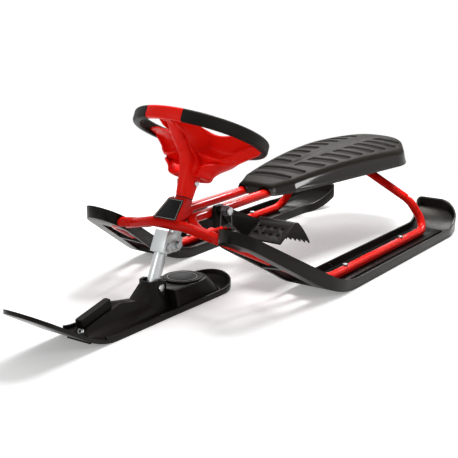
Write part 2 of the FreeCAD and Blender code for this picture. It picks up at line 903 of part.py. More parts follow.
def runner():
    """Trough with a flat sole, a rising toe and tail, and a bed for the rail."""
    outline = runner_outline()
    whole = upright_prism(outline, backbone_z + tube_d)
    inside = upright_prism(outline.makeOffset2D(-runner_rim_t), backbone_z + tube_d)
    ends = (0, half_width + cut_overrun)
    body = whole.common(runner_band(0, runner_rim, *ends, True))
    body = body.cut(inside.common(runner_band(runner_floor, runner_rim + cut_overrun, *ends, True)))
    bed_path = box(tail_rise_x, toe_x, rail_y - bed_half, rail_y + bed_half, 0, backbone_z)
    bed = inside.common(runner_band(runner_floor, bed_height, *ends)).common(bed_path)
    body = body.fuse(bed)
    width = half_width - runner_half_gap
    for share in sole_groove_shares:
        middle = runner_half_gap + width * share
        low = middle - sole_groove_width / 2
        groove = runner_band(-cut_overrun, sole_groove_depth, low, low + sole_groove_width)
        body = body.cut(groove.common(box(tail_rise_x, sole_rise_x, low, low + sole_groove_width,
                                          -cut_overrun, tube_d)))
    points, radii = rail_path()
    body = body.cut(swept(points, radii, tube_r + rest_gap))
    side, bends = backbone_path()
    body = body.cut(swept(side, bends, tube_r + rest_gap))
    run = points[1] - points[2]
    run.normalize()
    across = run.cross(UP)
    across.normalize()
    frame = upright_prism(outline.makeOffset2D(-toe_window_frame), backbone_z + tube_d)
    rib = toe_window_high + (toe_window_low - toe_window_high) * toe_rib_share
    side = across * toe_window_half
    for near, far in ((toe_window_high, rib - toe_rib_half), (rib + toe_rib_half, toe_window_low)):
        high = points[1] - run * near
        low = points[1] - run * far
        corners = [low - side, high - side, high + side, low + side]
        body = body.cut(polygon_face(corners).extrude(UP * -cut_overrun).common(frame))
    for x in runner_bolt_places():
        body = body.cut(rod(Vector(x, rail_y, -cut_overrun), Vector(x, rail_y, tube_d),
                            runner_bolt_d / 2 + turn_gap))
        body = body.cut(hexagon(Vector(x, rail_y, 0), UP, runner_bolt_d * bolt_across_share + 2 * rest_gap,
                                runner_nut_depth))
    return max(body.removeSplitter().Solids, key=lambda solid: solid.Volume)


def both_sides(pieces):
    return Part.Compound(pieces + [mirrored(piece) for piece in pieces])


def runner_bolts():
    top = rail_z + tube_r + rest_gap
    bolts = [hex_bolt(Vector(x, rail_y, top), Vector(x, rail_y, rest_gap),
                      runner_bolt_d) for x in runner_bolt_places()]
    return both_sides(bolts)


def runner_nuts():
    depth = runner_nut_depth - rest_gap
    nuts = []
    for x in runner_bolt_places():
        nut = hexagon(Vector(x, rail_y, rest_gap), UP, runner_bolt_d * bolt_across_share, depth - rest_gap)
        nuts.append(nut.cut(rod(Vector(x, rail_y, 0), Vector(x, rail_y, tube_d),
                                runner_bolt_d / 2 + turn_gap)))
    return both_sides(nuts)


def seat_outline():
    rear = seat_lip - half_length
    half = [(seat_front_x, seat_front_half, seat_front_round),
            (seat_front_x - seat_cheek_back, seat_cheek_half, seat_cheek_round),
            (rear + seat_hip_ahead, seat_hip_half, seat_hip_round), (rear, seat_rear_half, seat_rear_round)]
    points = [Vector(x, y, 0) for x, y, r in half] + [Vector(x, -y, 0) for x, y, r in reversed(half)]
    radii = [r for x, y, r in half] + [r for x, y, r in reversed(half)]
    return Part.Wire(rounded_edges(points, radii, True))


def seat_crown(drop):
    """Everything under the seat's domed top, lowered by the drop."""
    apex_x = seat_apex_x
    centre_z = seat_apex_z - seat_long_radius
    top = seat_apex_z - drop
    half = seat_hip_half + cut_overrun
    sag = seat_cross_radius - math.sqrt(seat_cross_radius ** 2 - half ** 2)
    low = seat_low_z - cut_overrun
    left = Vector(apex_x, half, top - sag)
    right = Vector(apex_x, -half, top - sag)
    edges = [Part.Arc(right, Vector(apex_x, 0, top), left).toShape(),
             Part.makeLine(left, Vector(apex_x, half, low)),
             Part.makeLine(Vector(apex_x, half, low), Vector(apex_x, -half, low)),
             Part.makeLine(Vector(apex_x, -half, low), right)]
    face = Part.Face(Part.Wire(edges))
    hub = Vector(apex_x, 0, centre_z)
    reach = max(seat_run, seat_apex_ahead) + cut_overrun
    swing = math.degrees(math.asin(reach / seat_long_radius))
    face.rotate(hub, ACROSS, -swing)
    return face.revolve(hub, ACROSS, 2 * swing)


def seat_block(outline, drop):
    block = Part.Face(outline).extrude(Vector(0, 0, seat_apex_z))
    block.translate(Vector(0, 0, seat_low_z))
    return block.common(seat_crown(drop))


def tread_pads():
    """Outlines of the sunk tread: full-width panels at the front, then swept pairs."""
    pads = []
    hip_x = seat_hip_ahead - half_length
    cheek_x = seat_front_x - seat_cheek_back
    grow = (seat_hip_half - seat_cheek_half) / (cheek_x - hip_x)
    for step in range(panel_count + tread_count):
        x = seat_front_x - tread_first_back - tread_pitch * step
        if step >= panel_count:
            x = x + tread_pitch * tread_shift_share
        outer = min(seat_cheek_half + grow * (cheek_x - x), seat_hip_half) - tread_margin
        if step == panel_count + tread_count - 1:
            outer = outer - tread_margin / 2
        if step < panel_count:
            outer = outer + tread_margin / 4
            corners = [(x, -outer), (x - tread_pad, -outer), (x - tread_pad, outer), (x, outer)]
            pads.append(corners)
            continue
        inner = tread_spine_half + tread_spine_grow * (step - panel_count)
        for side in (1, -1):
            corners = [(x, side * inner), (x - tread_pad, side * inner),
                       (x - tread_pad - tread_sweep, side * outer), (x - tread_sweep, side * outer)]
            pads.append(corners)
    return pads


def strap_places():
    """Middles of the two seat straps along the sled."""
    return {"front": seat_front_x - strap_front_back, "rear": strap_rear_ahead - half_length}


def strap_screws(x):
    return [Vector(x, side * seat_screw_y, 0) for side in (1, -1)]


def seat_shell():
    """Hollow seat with a skirt, a lip, a sunk tread and bosses for the straps."""
    outline = seat_outline()
    outer = seat_block(outline, 0)
    rim = [edge for edge in outer.Edges if edge.CenterOfMass.z > seat_low_z + seat_edge_round
           and edge.BoundBox.ZLength < seat_edge_round * 3
           and edge.BoundBox.ZMin > seat_low_z + seat_edge_round]
    outer = outer.makeFillet(seat_edge_round, rim)
    lip = Part.Face(outline.makeOffset2D(seat_lip)).extrude(Vector(0, 0, seat_lip_t))
    lip.translate(Vector(0, 0, seat_low_z))
    inner_line = outline.makeOffset2D(-seat_wall)
    inner = Part.Face(inner_line).extrude(Vector(0, 0, seat_apex_z))
    inner.translate(Vector(0, 0, seat_low_z - seat_apex_z / 2))
    shell = outer.fuse(lip).cut(inner.common(seat_crown(seat_wall + tread_depth)))
    bed = seat_crown(tread_depth)
    for corners in tread_pads():
        low = [Vector(x, y, seat_low_z + seat_edge_round) for x, y in corners]
        pad = flat_face(low, [tread_round] * 4).extrude(Vector(0, 0, seat_apex_z)).cut(bed)
        shell = shell.cut(pad)
    strap_top = backbone_z + tube_r + rest_gap + strap_t
    for x in strap_places().values():
        for place in strap_screws(x):
            boss = rod(place + UP * (strap_top + rest_gap), place + UP * (seat_apex_z + cut_overrun),
                       boss_d / 2)
            shell = shell.fuse(boss.common(seat_crown(seat_wall)))
            hole = rod(place + UP * seat_low_z, place + UP * (strap_top + boss_d / 2),
                       seat_screw_d / 2 + turn_gap)
            shell = shell.cut(hole)
    for side in (1, -1):
        start = Vector(seat_front_x + cut_overrun, side * backbone_y, backbone_z)
        end = Vector(seat_front_x - cut_overrun * 2, side * backbone_y, backbone_z)
        radius = tube_r + notch_gap
        shell = shell.cut(rod(start, end, radius))
        shell = shell.cut(box(end.x, start.x, start.y - radius, start.y + radius, seat_low_z - cut_overrun,
                              backbone_z))
    return max(shell.removeSplitter().Solids, key=lambda solid: solid.Volume)


def seat_strap(x):
    low = backbone_z + tube_r + rest_gap
    strap = box(x - strap_length / 2, x + strap_length / 2, -strap_half, strap_half, low, low + strap_t)
    for place in strap_screws(x):
        strap = strap.cut(rod(place + UP * seat_low_z, place + UP * seat_apex_z,
                              seat_screw_d / 2 + turn_gap))
    return strap


def seat_screws():
    low = backbone_z + tube_r
    screws = []
    for x in strap_places().values():
        for place in strap_screws(x):
            start = place + UP * low
            head = rod(start - UP * seat_screw_head, start, seat_screw_head_d / 2)
            shank = rod(start, start + UP * (strap_t + boss_d / 2), seat_screw_d / 2)
            screws.append(shank.fuse(head).removeSplitter())
    return Part.Compound(screws)


def bracket_inner():
    return backbone_y + tube_r + rest_gap


def brake_bracket():
    """Plate beside the backbone tube with a shelf under the tube."""
    front = brake_x + bracket_ahead
    low = brake_z + bracket_above - bracket_height
    corners = [Vector(front - share_x * bracket_length, bracket_inner(), low + share_z * bracket_height)
               for share_x, share_z in bracket_outline_shares]
    plate = polygon_face(corners).extrude(ACROSS * bracket_t)
    shelf_top = backbone_z - tube_r - rest_gap
    shelf = box(front - bracket_length, front, backbone_y - tube_r / 2, bracket_inner() + bracket_t / 2,
                shelf_top - bracket_shelf, shelf_top)
    part = plate.fuse(shelf).removeSplitter()
    pin = Vector(brake_x, 0, brake_z)
    part = part.cut(rod(pin, pin + ACROSS * half_width, brake_pin_d / 2 + turn_gap))
    bolt = Vector(brake_x - bracket_bolt_back, backbone_y, 0)
    part = part.cut(rod(bolt, bolt + UP * shelf_top, bracket_bolt_d / 2 + turn_gap))
    return part


def bracket_bolt():
    shelf = backbone_z - tube_r - rest_gap - bracket_shelf
    bolt = Vector(brake_x - bracket_bolt_back, backbone_y, shelf - rest_gap)
    return hex_bolt(bolt, bolt + UP * (bracket_shelf + rest_gap), bracket_bolt_d)


def arm_y():
    return bracket_inner() + bracket_t + arm_gap


def spring_y():
    return arm_y() + arm_t + spring_side_gap


def brake_pin():
    """Pin from the bracket through the pedal arm and the spring."""
    length = spring_y() + spring_turns * spring_pitch + spring_side_gap
    start = Vector(brake_x, bracket_inner() + rest_gap, brake_z)
    end = Vector(brake_x, length, brake_z)
    head = rod(end, end + ACROSS * brake_pin_head, brake_pin_head_d / 2)
    return rod(start, end, brake_pin_d / 2).fuse(head).removeSplitter()


def pedal_at(back, drop):
    """Point on the middle line of the pedal sheet, from the pivot pin."""
    return Vector(brake_x - back, 0, brake_z - drop)


def pedal_line(offset):
    """Side view of the pedal sheet, set off by half the sheet: sloping foot plate, bend, then the claw."""
    foot = pedal_at(pedal_front_back, pedal_front_drop)
    plate_top = pedal_at(pedal_top_back, pedal_top_drop)
    claw_root = pedal_at(claw_back, claw_drop)
    claw_tip = pedal_at(claw_tip_back, claw_tip_drop)

    def off(point, run):
        side = Vector(run.z, 0, -run.x)
        side.normalize()
        return point + side * offset
    plate_run = plate_top - foot
    level = claw_root - plate_top
    claw_run = claw_tip - claw_root
    start = off(foot, plate_run)
    top = off(plate_top, plate_run)
    root = off(claw_root, claw_run)
    tip = off(claw_tip, claw_run)
    bend = off(pedal_at(claw_bend_back, claw_bend_drop), level)
    middle = off(pedal_at(claw_mid_back, claw_mid_drop), claw_run)
    edges = [Part.makeLine(start, top), Part.Arc(top, bend, root).toShape(),
             Part.Arc(root, middle, tip).toShape()]
    return edges, start, tip


def brake_pedal():
    """Arm, dimpled foot plate and toothed claw of one brake."""
    inner = arm_y()
    under, under_foot, under_tip = pedal_line(-pedal_t / 2)
    over, over_foot, over_tip = pedal_line(pedal_t / 2)
    ends = [Part.makeLine(under_foot, over_foot), Part.makeLine(under_tip, over_tip)]
    outline = Part.Wire(Part.__sortEdges__(under + over + ends))
    sheet = Part.Face(outline).extrude(ACROSS * (pedal_out_y - inner))
    sheet.translate(ACROSS * inner)
    pitch = (pedal_out_y - inner) / tooth_count
    across_tip = over_tip - under_tip
    across_tip.normalize()
    claw_end = (under_tip + over_tip) * 0.5 - across_tip * cut_overrun / 2
    claw_run = pedal_at(claw_tip_back, claw_tip_drop) - pedal_at(claw_mid_back, claw_mid_drop)
    claw_run.normalize()
    for step in range(tooth_count):
        left = ACROSS * (inner + pitch * step)
        notch = [claw_end + left, claw_end + left + ACROSS * pitch,
                 claw_end + left + ACROSS * (pitch / 2) - claw_run * tooth_depth]
        sheet = sheet.cut(polygon_face(notch).extrude(across_tip * cut_overrun))
    foot = pedal_at(pedal_front_back, pedal_front_drop) + ACROSS * inner
    top = pedal_at(pedal_top_back, pedal_top_drop) + ACROSS * inner
    plate_run = top - foot
    plate_up = Vector(plate_run.z, 0, -plate_run.x)
    plate_up.normalize()
    gap = (pedal_out_y - inner) / (dimple_count + 1)
    for row in range(dimple_rows):
        for step in range(dimple_count):
            centre = foot + plate_run * ((row + 1) / (dimple_rows + 1)) + ACROSS * (gap * (step + 1))
            sheet = sheet.cut(rod(centre, centre + plate_up * cut_overrun, dimple_d / 2))
    pin = Vector(brake_x, inner, brake_z)
    run = top - pin
    run.normalize()
    lift = Vector(run.z, 0, -run.x) * arm_half
    face = polygon_face([pin + lift, pin - lift, foot, top])
    arm = face.extrude(ACROSS * arm_t).fuse(rod(pin, pin + ACROSS * arm_t, arm_half))
    bore = rod(pin - ACROSS * arm_t, pin + ACROSS * arm_t * 2, brake_pin_d / 2 + turn_gap)
    part = sheet.fuse(arm).cut(bore)
    return max(part.removeSplitter().Solids, key=lambda solid: solid.Volume)


def biarc(start, start_run, end, end_run):
    """Two arcs with one tangent between two points of a coil."""
    chord = end - start
    total = start_run + end_run
    square = 2 * (1 - start_run.dot(end_run))
    mixed = chord.dot(total)
    reach = (math.sqrt(mixed ** 2 + square * chord.dot(chord)) - mixed) / square
    first = start + start_run * reach
    second = end - end_run * reach
    joint = (first + second) * 0.5
    arcs = []
    for low, corner, high in ((start, first, joint), (joint, second, end)):
        back = low - corner
        ahead = high - corner
        half = back.getAngle(ahead) / 2
        inward = back + ahead
        inward.normalize()
        middle = corner + inward * (back.Length * (1 / math.cos(half) - math.tan(half)))
        arcs.append(Part.Arc(low, middle, high).toShape())
    return arcs


def brake_spring():
    """Return spring: turns round the pin with a straight leg at each end."""
    rate = spring_pitch / (2 * math.pi)
    length = math.hypot(spring_radius, rate)

    def at(turn):
        return Vector(brake_x + spring_radius * math.cos(turn), spring_y() + rate * turn,
                      brake_z + spring_radius * math.sin(turn))

    def run_at(turn):
        return Vector(-spring_radius * math.sin(turn), rate, spring_radius * math.cos(turn)) * (1 / length)
    steps = round(spring_turns * 4)
    edges = [Part.makeLine(at(0) - run_at(0) * spring_leg, at(0))]
    for step in range(steps):
        low = math.pi / 2 * step
        high = math.pi / 2 * (step + 1)
        edges.extend(biarc(at(low), run_at(low), at(high), run_at(high)))
    last = math.pi / 2 * steps
    edges.append(Part.makeLine(at(last), at(last) + run_at(last) * spring_leg))
    ring = Part.Wire([Part.makeCircle(spring_wire / 2, at(0) - run_at(0) * spring_leg, run_at(0))])
    return Part.Wire(edges).makePipeShell([ring], True, False)


def ski_outline():
    nose = pivot_x + ski_nose_length
    tail = pivot_x - ski_tail_length
    half = [(nose, ski_nose_half, ski_nose_round), (pivot_x, ski_half, ski_nose_length),
            (tail, ski_tail_half, ski_tail_round)]
    points = [Vector(x, y, 0) for x, y, r in half] + [Vector(x, -y, 0) for x, y, r in reversed(half)]
    radii = [r for x, y, r in half] + [r for x, y, r in reversed(half)]
    return Part.Wire(rounded_edges(points, radii, True))


def ski_band(low, high):
    half = ski_tail_half + cut_overrun
    face = side_band(low, high, pivot_x - ski_tail_rise_from, pivot_x + ski_rise_from,
                     (ski_tail_rise_radius, ski_tail_rise_angle, cut_overrun),
                     (ski_rise_radius, ski_rise_angle, ski_nose_length), ski_rise_angle, 0)
    slab = face.extrude(ACROSS * (2 * half))
    slab.translate(ACROSS * -half)
    return slab


def ski_ridge():
    """Ridge from the socket forwards to the rope eyelet."""
    corners = [Vector(pivot_x + tower_front - tower_wall, 0, ski_floor / 2),
               Vector(pivot_x + tower_front - tower_wall, 0, tower_height - tower_wall),
               Vector(pivot_x + tower_front, 0, tower_height - tower_wall),
               Vector(pivot_x + ridge_dip_ahead, 0, ridge_dip_z),
               Vector(pivot_x + ridge_shoulder_ahead, 0, ridge_shoulder_z),
               Vector(pivot_x + ridge_end_ahead, 0, ridge_end_z), Vector(pivot_x + ridge_foot_ahead, 0,
                                                                         ski_floor),
               Vector(pivot_x + ridge_foot_ahead, 0, ski_floor / 2)]
    ridge = polygon_face(corners).extrude(ACROSS * (2 * ridge_low_half))
    ridge.translate(ACROSS * -ridge_low_half)
    left = [(ridge_low_half, 0), (ridge_low_half, ski_floor), (ridge_knee_half, ridge_knee_z),
            (ridge_half, tower_height)]
    outline = [Vector(pivot_x, y, z) for y, z in left] + [Vector(pivot_x, -y, z) for y, z in reversed(left)]
    return ridge.common(polygon_face(outline).extrude(Vector(ridge_foot_ahead + cut_overrun, 0, 0)))


def level_outline(back, front, half, height, radii):
    """Level oblong with rounded corners, the two front ones first."""
    points = [Vector(front, -half, height), Vector(front, half, height), Vector(back, half, height),
              Vector(back, -half, height)]
    return Part.Wire(rounded_edges(points, radii, True))


def ski_tower():
    """Oval socket for the leg with a flared foot and a sloping back."""
    back = pivot_x - tower_back
    front = pivot_x + tower_front
    rings = []
    for height, share in zip((ski_floor / 2, tower_flare_z, tower_height), tower_flare_shares):
        flare = tower_flare * share
        half = tower_half + flare
        rings.append(level_outline(back - flare, front + flare, half, height, [half] * 4))
    block = Part.makeLoft(rings, True, True)
    fall = (tower_height - tower_rear_height) / tower_back
    end = back - cut_overrun
    top = tower_height + cut_overrun
    slope = polygon_face([Vector(pivot_x, -half_width, tower_height), Vector(pivot_x, -half_width, top),
                          Vector(end, -half_width, top), Vector(end, -half_width,
                                                                tower_height - fall * (pivot_x - end))])
    return block.cut(slope.extrude(ACROSS * overall_width))


def drum_housing():
    """Raised deck round the reel drum that slopes down to the floor of the ski."""
    front = pivot_x - tower_back + tower_wall
    back = drum_x - drum_radius
    radii = [housing_front_round, housing_front_round, housing_round, housing_round]
    low = level_outline(back - housing_low_back, front, housing_low_half, ski_floor / 2, radii)
    high = level_outline(back - housing_back, front, housing_half, drum_height, radii)
    return Part.makeLoft([low, high], True, True)


def eyelet_place():
    """Middle of the ridge's front slope and its outward direction."""
    low = Vector(pivot_x + ridge_foot_ahead, 0, ski_floor)
    high = Vector(pivot_x + ridge_end_ahead, 0, ridge_end_z)
    run = high - low
    centre = low + run * eyelet_share
    out = Vector(run.z, 0, -run.x)
    out.normalize()
    return centre, out


def front_ski():
    """Ski moulding with its rim, leg socket, ridge and reel drum."""
    outline = ski_outline()
    whole = upright_prism(outline, half_length)
    inside = upright_prism(outline.makeOffset2D(-ski_rim_t), half_length)
    body = whole.common(ski_band(0, ski_rim))
    body = body.cut(inside.common(ski_band(ski_floor, ski_rim + cut_overrun)))
    nose = box(pivot_x + ski_nose_rim_from, half_length + cut_overrun, -ski_tail_half - cut_overrun,
               ski_tail_half + cut_overrun, 0, half_length)
    body = body.cut(nose.common(ski_band(ski_nose_rim, ski_rim + cut_overrun)))
    body = body.fuse([ski_tower(), ski_ridge(), drum_housing()]).removeSplitter()
    pocket = box(pivot_x - tower_back + tower_wall, pivot_x + tower_front - tower_wall, -pocket_half,
                 pocket_half,
                 pocket_floor, tower_height + cut_overrun)
    body = body.cut(pocket)
    cavity = rod(Vector(drum_x, 0, drum_floor), Vector(drum_x, 0, tower_height + cut_overrun),
                 drum_radius - drum_wall)
    body = body.cut(cavity)
    body = body.fuse(rod(Vector(drum_x, 0, drum_floor), Vector(drum_x, 0, drum_floor + spool_gap),
                         spool_pin_d))
    body = body.cut(rod(Vector(drum_x, 0, ski_floor), Vector(drum_x, 0, drum_height),
                        spool_pin_d / 2 + turn_gap))
    pivot = Vector(pivot_x, 0, pivot_z)
    body = body.cut(rod(pivot - ACROSS * half_width, pivot + ACROSS * half_width,
                        pivot_bolt_d / 2 + turn_gap))
    seat = rod(pivot + ACROSS * tower_half, pivot + ACROSS * half_width, pivot_bolt_d)
    body = body.cut(seat).cut(mirrored(seat))
    centre, out = eyelet_place()
    body = body.cut(rod(centre - out * eyelet_depth, centre + out * cut_overrun,
                        eyelet_radius * eyelet_share + turn_gap))
    return max(body.removeSplitter().Solids, key=lambda solid: solid.Volume)


def pivot_bolt():
    side = tower_half + rest_gap
    pivot = Vector(pivot_x, 0, pivot_z)
    return hex_bolt(pivot + ACROSS * side, pivot - ACROSS * (side + pivot_bolt_d), pivot_bolt_d)


def pivot_nut():
    pivot = Vector(pivot_x, 0, pivot_z)
    return hex_nut(pivot - ACROSS * (tower_half + rest_gap), ACROSS * -1, pivot_bolt_d)


def rope_eyelet():
    centre, out = eyelet_place()
    flange = Part.makeCone(eyelet_radius, eyelet_radius * eyelet_share, eyelet_head,
                           centre + out * rest_gap, out)
    stem = rod(centre - out * (eyelet_depth - rest_gap), centre + out * rest_gap,
               eyelet_radius * eyelet_share)
    return stem.fuse(flange).cut(rod(centre - out * cut_overrun, centre + out * cut_overrun, eyelet_bore))


def reel_cover():
    low = drum_height + rest_gap
    disc = rod(Vector(drum_x, 0, low), Vector(drum_x, 0, low + cover_t), drum_radius)
    sunk = rod(Vector(drum_x, 0, low + cover_t - cover_lip), Vector(drum_x, 0, low + 2 * cover_t),
               badge_radius + rest_gap)
    return disc.cut(sunk)


def reel_badge():
    low = drum_height + rest_gap + cover_t - cover_lip + rest_gap
    return rod(Vector(drum_x, 0, low), Vector(drum_x, 0, low + badge_t), badge_radius)


def spool_pin():
    return rod(Vector(drum_x, 0, ski_floor + rest_gap), Vector(drum_x, 0, drum_height), spool_pin_d / 2)


def rope_spool():
    """Flanged spool for the wound-up tow rope."""
    low = drum_floor + spool_gap + rest_gap
    high = drum_height - spool_gap
    outer = drum_radius - drum_wall - spool_gap
    core = rod(Vector(drum_x, 0, low), Vector(drum_x, 0, high), spool_core_radius)
    under = rod(Vector(drum_x, 0, low), Vector(drum_x, 0, low + spool_flange_t), outer)
    over = rod(Vector(drum_x, 0, high - spool_flange_t), Vector(drum_x, 0, high), outer)
    spool = core.fuse([under, over]).removeSplitter()
    return spool.cut(rod(Vector(drum_x, 0, 0), Vector(drum_x, 0, tower_height), spool_pin_d / 2 + turn_gap))


def tow_handle():
    """Thick oblong handle that lies on the ridge."""
    fall = math.atan2(ridge_shoulder_z - ridge_end_z, ridge_end_ahead - ridge_shoulder_ahead)
    width = handle_width / 2
    flat = [Vector(0, -width, 0), Vector(handle_length, -width, 0), Vector(handle_length, width, 0),
            Vector(0, width, 0)]
    bar = flat_face(flat, [handle_corner] * 4).extrude(UP * handle_t)
    bar = bar.makeFillet(handle_edge, [edge for edge in bar.Edges if edge.BoundBox.ZLength < handle_t / 2])
    middle = Vector(handle_length / 2, 0, 0)
    bar = bar.cut(rod(middle - UP * cut_overrun, middle + UP * handle_t * handle_bore_share, handle_bore_d / 2))
    base_z = ridge_shoulder_z - (handle_from - ridge_shoulder_ahead) * math.tan(fall)
    place = Vector(pivot_x + handle_from, 0, base_z) + Vector(math.sin(fall), 0, math.cos(fall)) * rest_gap
    bar.Placement = FreeCAD.Placement(place, FreeCAD.Rotation(ACROSS, math.degrees(fall)))
    return bar


def nodes():
    """Every piece by name."""
    straps = strap_places()
    left = {"backbone_tube": backbone_tube(), "rail_tube": rail_tube(), "runner": runner(),
            "brake_bracket": brake_bracket(), "brake_pin": brake_pin(), "brake_spring": brake_spring(),
            "brake_pedal": brake_pedal()}
    pieces = {"front_cross_tube": cross_tube(), "tube_end_plugs": both_sides([end_plug()]),
              "head_tube": head_tube(),
              "head_gusset": head_gusset(), "head_label_plate": label_plate(), "upper_bush": bush(True),
              "lower_bush": bush(False), "upper_washer": washer(True), "lower_washer": washer(False),
              "seat_shell": seat_shell(), "seat_front_strap": seat_strap(straps["front"]),
              "seat_rear_strap": seat_strap(straps["rear"]), "seat_screws": seat_screws(),
              "runner_bolts": runner_bolts(), "runner_nuts": runner_nuts(),
              "brake_bracket_bolts": both_sides([bracket_bolt()]), "steering_column": steering_column(),
              "column_cap": column_cap(), "wheel_body": wheel_body(), "left_grip": grip(grip_start),
              "right_grip": grip(-grip_end), "wheel_clamp_screw": clamp_screw(),
              "wheel_clamp_nut": clamp_nut_piece(),
              "fork_bracket": fork_bracket(), "leg_tube": leg_tube(), "fork_bolts": fork_bolts(),
              "fork_nuts": fork_nuts(), "front_ski": front_ski(), "ski_pivot_bolt": pivot_bolt(),
              "ski_pivot_nut": pivot_nut(), "rope_eyelet": rope_eyelet(), "reel_cover": reel_cover(),
              "reel_badge": reel_badge(), "spool_pin": spool_pin(), "rope_spool": rope_spool(),
              "tow_handle": tow_handle()}
    for name, shape in left.items():
        pieces["left_" + name] = shape
        pieces["right_" + name] = mirrored(shape)
    return pieces


def main():
    os.makedirs("parts", exist_ok=True)
    for name, shape in nodes().items():
        print(name, len(shape.Solids), round(shape.Volume), shape.isValid())
        shape.exportStep("parts/" + name + ".step")


if __name__ == "__main__":
    main()
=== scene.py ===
import json
import math

import bmesh
import bpy
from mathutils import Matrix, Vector


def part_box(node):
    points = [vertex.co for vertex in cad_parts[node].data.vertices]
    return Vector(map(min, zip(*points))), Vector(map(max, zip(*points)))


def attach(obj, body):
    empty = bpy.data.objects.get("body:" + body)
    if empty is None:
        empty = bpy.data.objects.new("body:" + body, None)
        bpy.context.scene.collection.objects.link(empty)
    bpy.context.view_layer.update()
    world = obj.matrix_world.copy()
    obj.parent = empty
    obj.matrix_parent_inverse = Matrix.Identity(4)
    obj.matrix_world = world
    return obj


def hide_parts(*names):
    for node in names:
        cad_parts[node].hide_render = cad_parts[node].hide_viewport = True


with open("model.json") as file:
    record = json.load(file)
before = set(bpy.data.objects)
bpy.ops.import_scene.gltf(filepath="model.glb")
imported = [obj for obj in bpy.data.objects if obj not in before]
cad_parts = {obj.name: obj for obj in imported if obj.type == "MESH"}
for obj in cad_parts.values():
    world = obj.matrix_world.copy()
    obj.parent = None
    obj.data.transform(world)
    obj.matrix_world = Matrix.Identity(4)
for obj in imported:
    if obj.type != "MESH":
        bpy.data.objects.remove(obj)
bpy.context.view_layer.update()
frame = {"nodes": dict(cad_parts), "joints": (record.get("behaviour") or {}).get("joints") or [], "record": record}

NODES = frame["nodes"]
RECORD = frame["record"]
BODY_OF = {name: body for body, names in RECORD["behaviour"]["bodies"].items() for name in names}
SLOT_OF = {entry["node"]: entry["material_slot"] for entry in RECORD["subparts"]}
SCENE = bpy.context.scene
MM = 0.001


# Node trees

def node(tree, kind, values=None, **settings):
    """Adds a node, sets its properties and the default values of its sockets."""
    made = tree.nodes.new(kind)
    for key, value in settings.items():
        setattr(made, key, value)
    for key, value in (values or {}).items():
        made.inputs[key].default_value = value
    return made


def feed(tree, value, socket):
    """Feeds a socket from another socket or with a plain value."""
    if isinstance(value, bpy.types.NodeSocket):
        tree.links.new(value, socket)
    else:
        socket.default_value = value


def figure(tree, operation, *values):
    """A math node on sockets and plain numbers."""
    made = node(tree, "ShaderNodeMath", operation=operation)
    for value, socket in zip(values, made.inputs):
        feed(tree, value, socket)
    return made.outputs["Value"]


def blend(tree, kind, mask, first, second):
    """A mix of two colours (RGBA) or two values (FLOAT) by a mask."""
    made = node(tree, "ShaderNodeMix", data_type=kind)
    for label, value in (("Factor", mask), ("A", first), ("B", second)):
        feed(tree, value, made.inputs[label])
    return made.outputs["Result"]


def noise(tree, place, scale, detail, roughness):
    """A noise pattern at a place socket."""
    made = node(tree, "ShaderNodeTexNoise", {"Detail": detail, "Roughness": roughness})
    tree.links.new(place, made.inputs["Vector"])
    feed(tree, scale, made.inputs["Scale"])
    return made.outputs["Fac"]


def band(tree, source, low, high):
    """Rises from zero where the source is low to one where it is high."""
    made = tree.nodes.new("ShaderNodeValToRGB")
    for element, place in zip(made.color_ramp.elements, (low, high)):
        element.position = place
    tree.links.new(source, made.inputs["Fac"])
    return made.outputs["Color"]


# Surface effects that several finishes share

DRIFT_BAND = (0.3, 0.7)
SCRATCH_BAND = (0.66, 0.74)
RUB_BAND = (0.55, 0.75)
RUB_SCALE = 26.0


def new_group(name, inputs, outputs):
    """A shader group of float sockets, with a default for each input."""
    group = bpy.data.node_groups.new(name, "ShaderNodeTree")
    for label, default in inputs.items():
        socket = group.interface.new_socket(label, in_out="INPUT", socket_type="NodeSocketFloat")
        socket.default_value = default
    for label in outputs:
        group.interface.new_socket(label, in_out="OUTPUT", socket_type="NodeSocketFloat")
    given = group.nodes.new("NodeGroupInput").outputs
    result = group.nodes.new("NodeGroupOutput").inputs
    return group, given, result


def moulded_grain():
    """Fine moulded grain: a height for bump, and a slow mask for roughness and colour drift."""
    sizes = {"Grain Scale": 900.0, "Drift Scale": 9.0}
    group, given, result = new_group("moulded_grain", sizes, ("Height", "Drift"))
    place = node(group, "ShaderNodeTexCoord").outputs["Object"]
    fine = noise(group, place, given["Grain Scale"], detail=2.0, roughness=0.6)
    slow = noise(group, place, given["Drift Scale"], detail=3.0, roughness=0.55)
    group.links.new(fine, result["Height"])
    group.links.new(band(group, slow, *DRIFT_BAND), result["Drift"])
    return group


def scuff_marks():
    """Long thin scratches along the sled's run and small rub patches."""
    group, given, result = new_group("scuff_marks", {"Length": 6.0, "Density": 260.0}, ("Scratch", "Rub"))
    place = node(group, "ShaderNodeTexCoord").outputs["Object"]
    stretch = node(group, "ShaderNodeCombineXYZ")
    for axis, size in (("X", "Length"), ("Y", "Density"), ("Z", "Density")):
        group.links.new(given[size], stretch.inputs[axis])
    drawn_out = node(group, "ShaderNodeVectorMath", operation="MULTIPLY")
    group.links.new(place, drawn_out.inputs[0])
    group.links.new(stretch.outputs["Vector"], drawn_out.inputs[1])
    streak = noise(group, drawn_out.outputs["Vector"], scale=1.0, detail=2.0, roughness=0.5)
    patch = noise(group, place, RUB_SCALE, detail=4.0, roughness=0.65)
    group.links.new(band(group, streak, *SCRATCH_BAND), result["Scratch"])
    group.links.new(band(group, patch, *RUB_BAND), result["Rub"])
    return group


GRAIN = moulded_grain()
SCUFF = scuff_marks()


# Finishes

BUMP_STRENGTH = 0.35
RUB_DULLS = 0.12
NEUTRAL = (1.0, 1.0, 1.0)
WARM = (1.0, 0.90, 0.77)


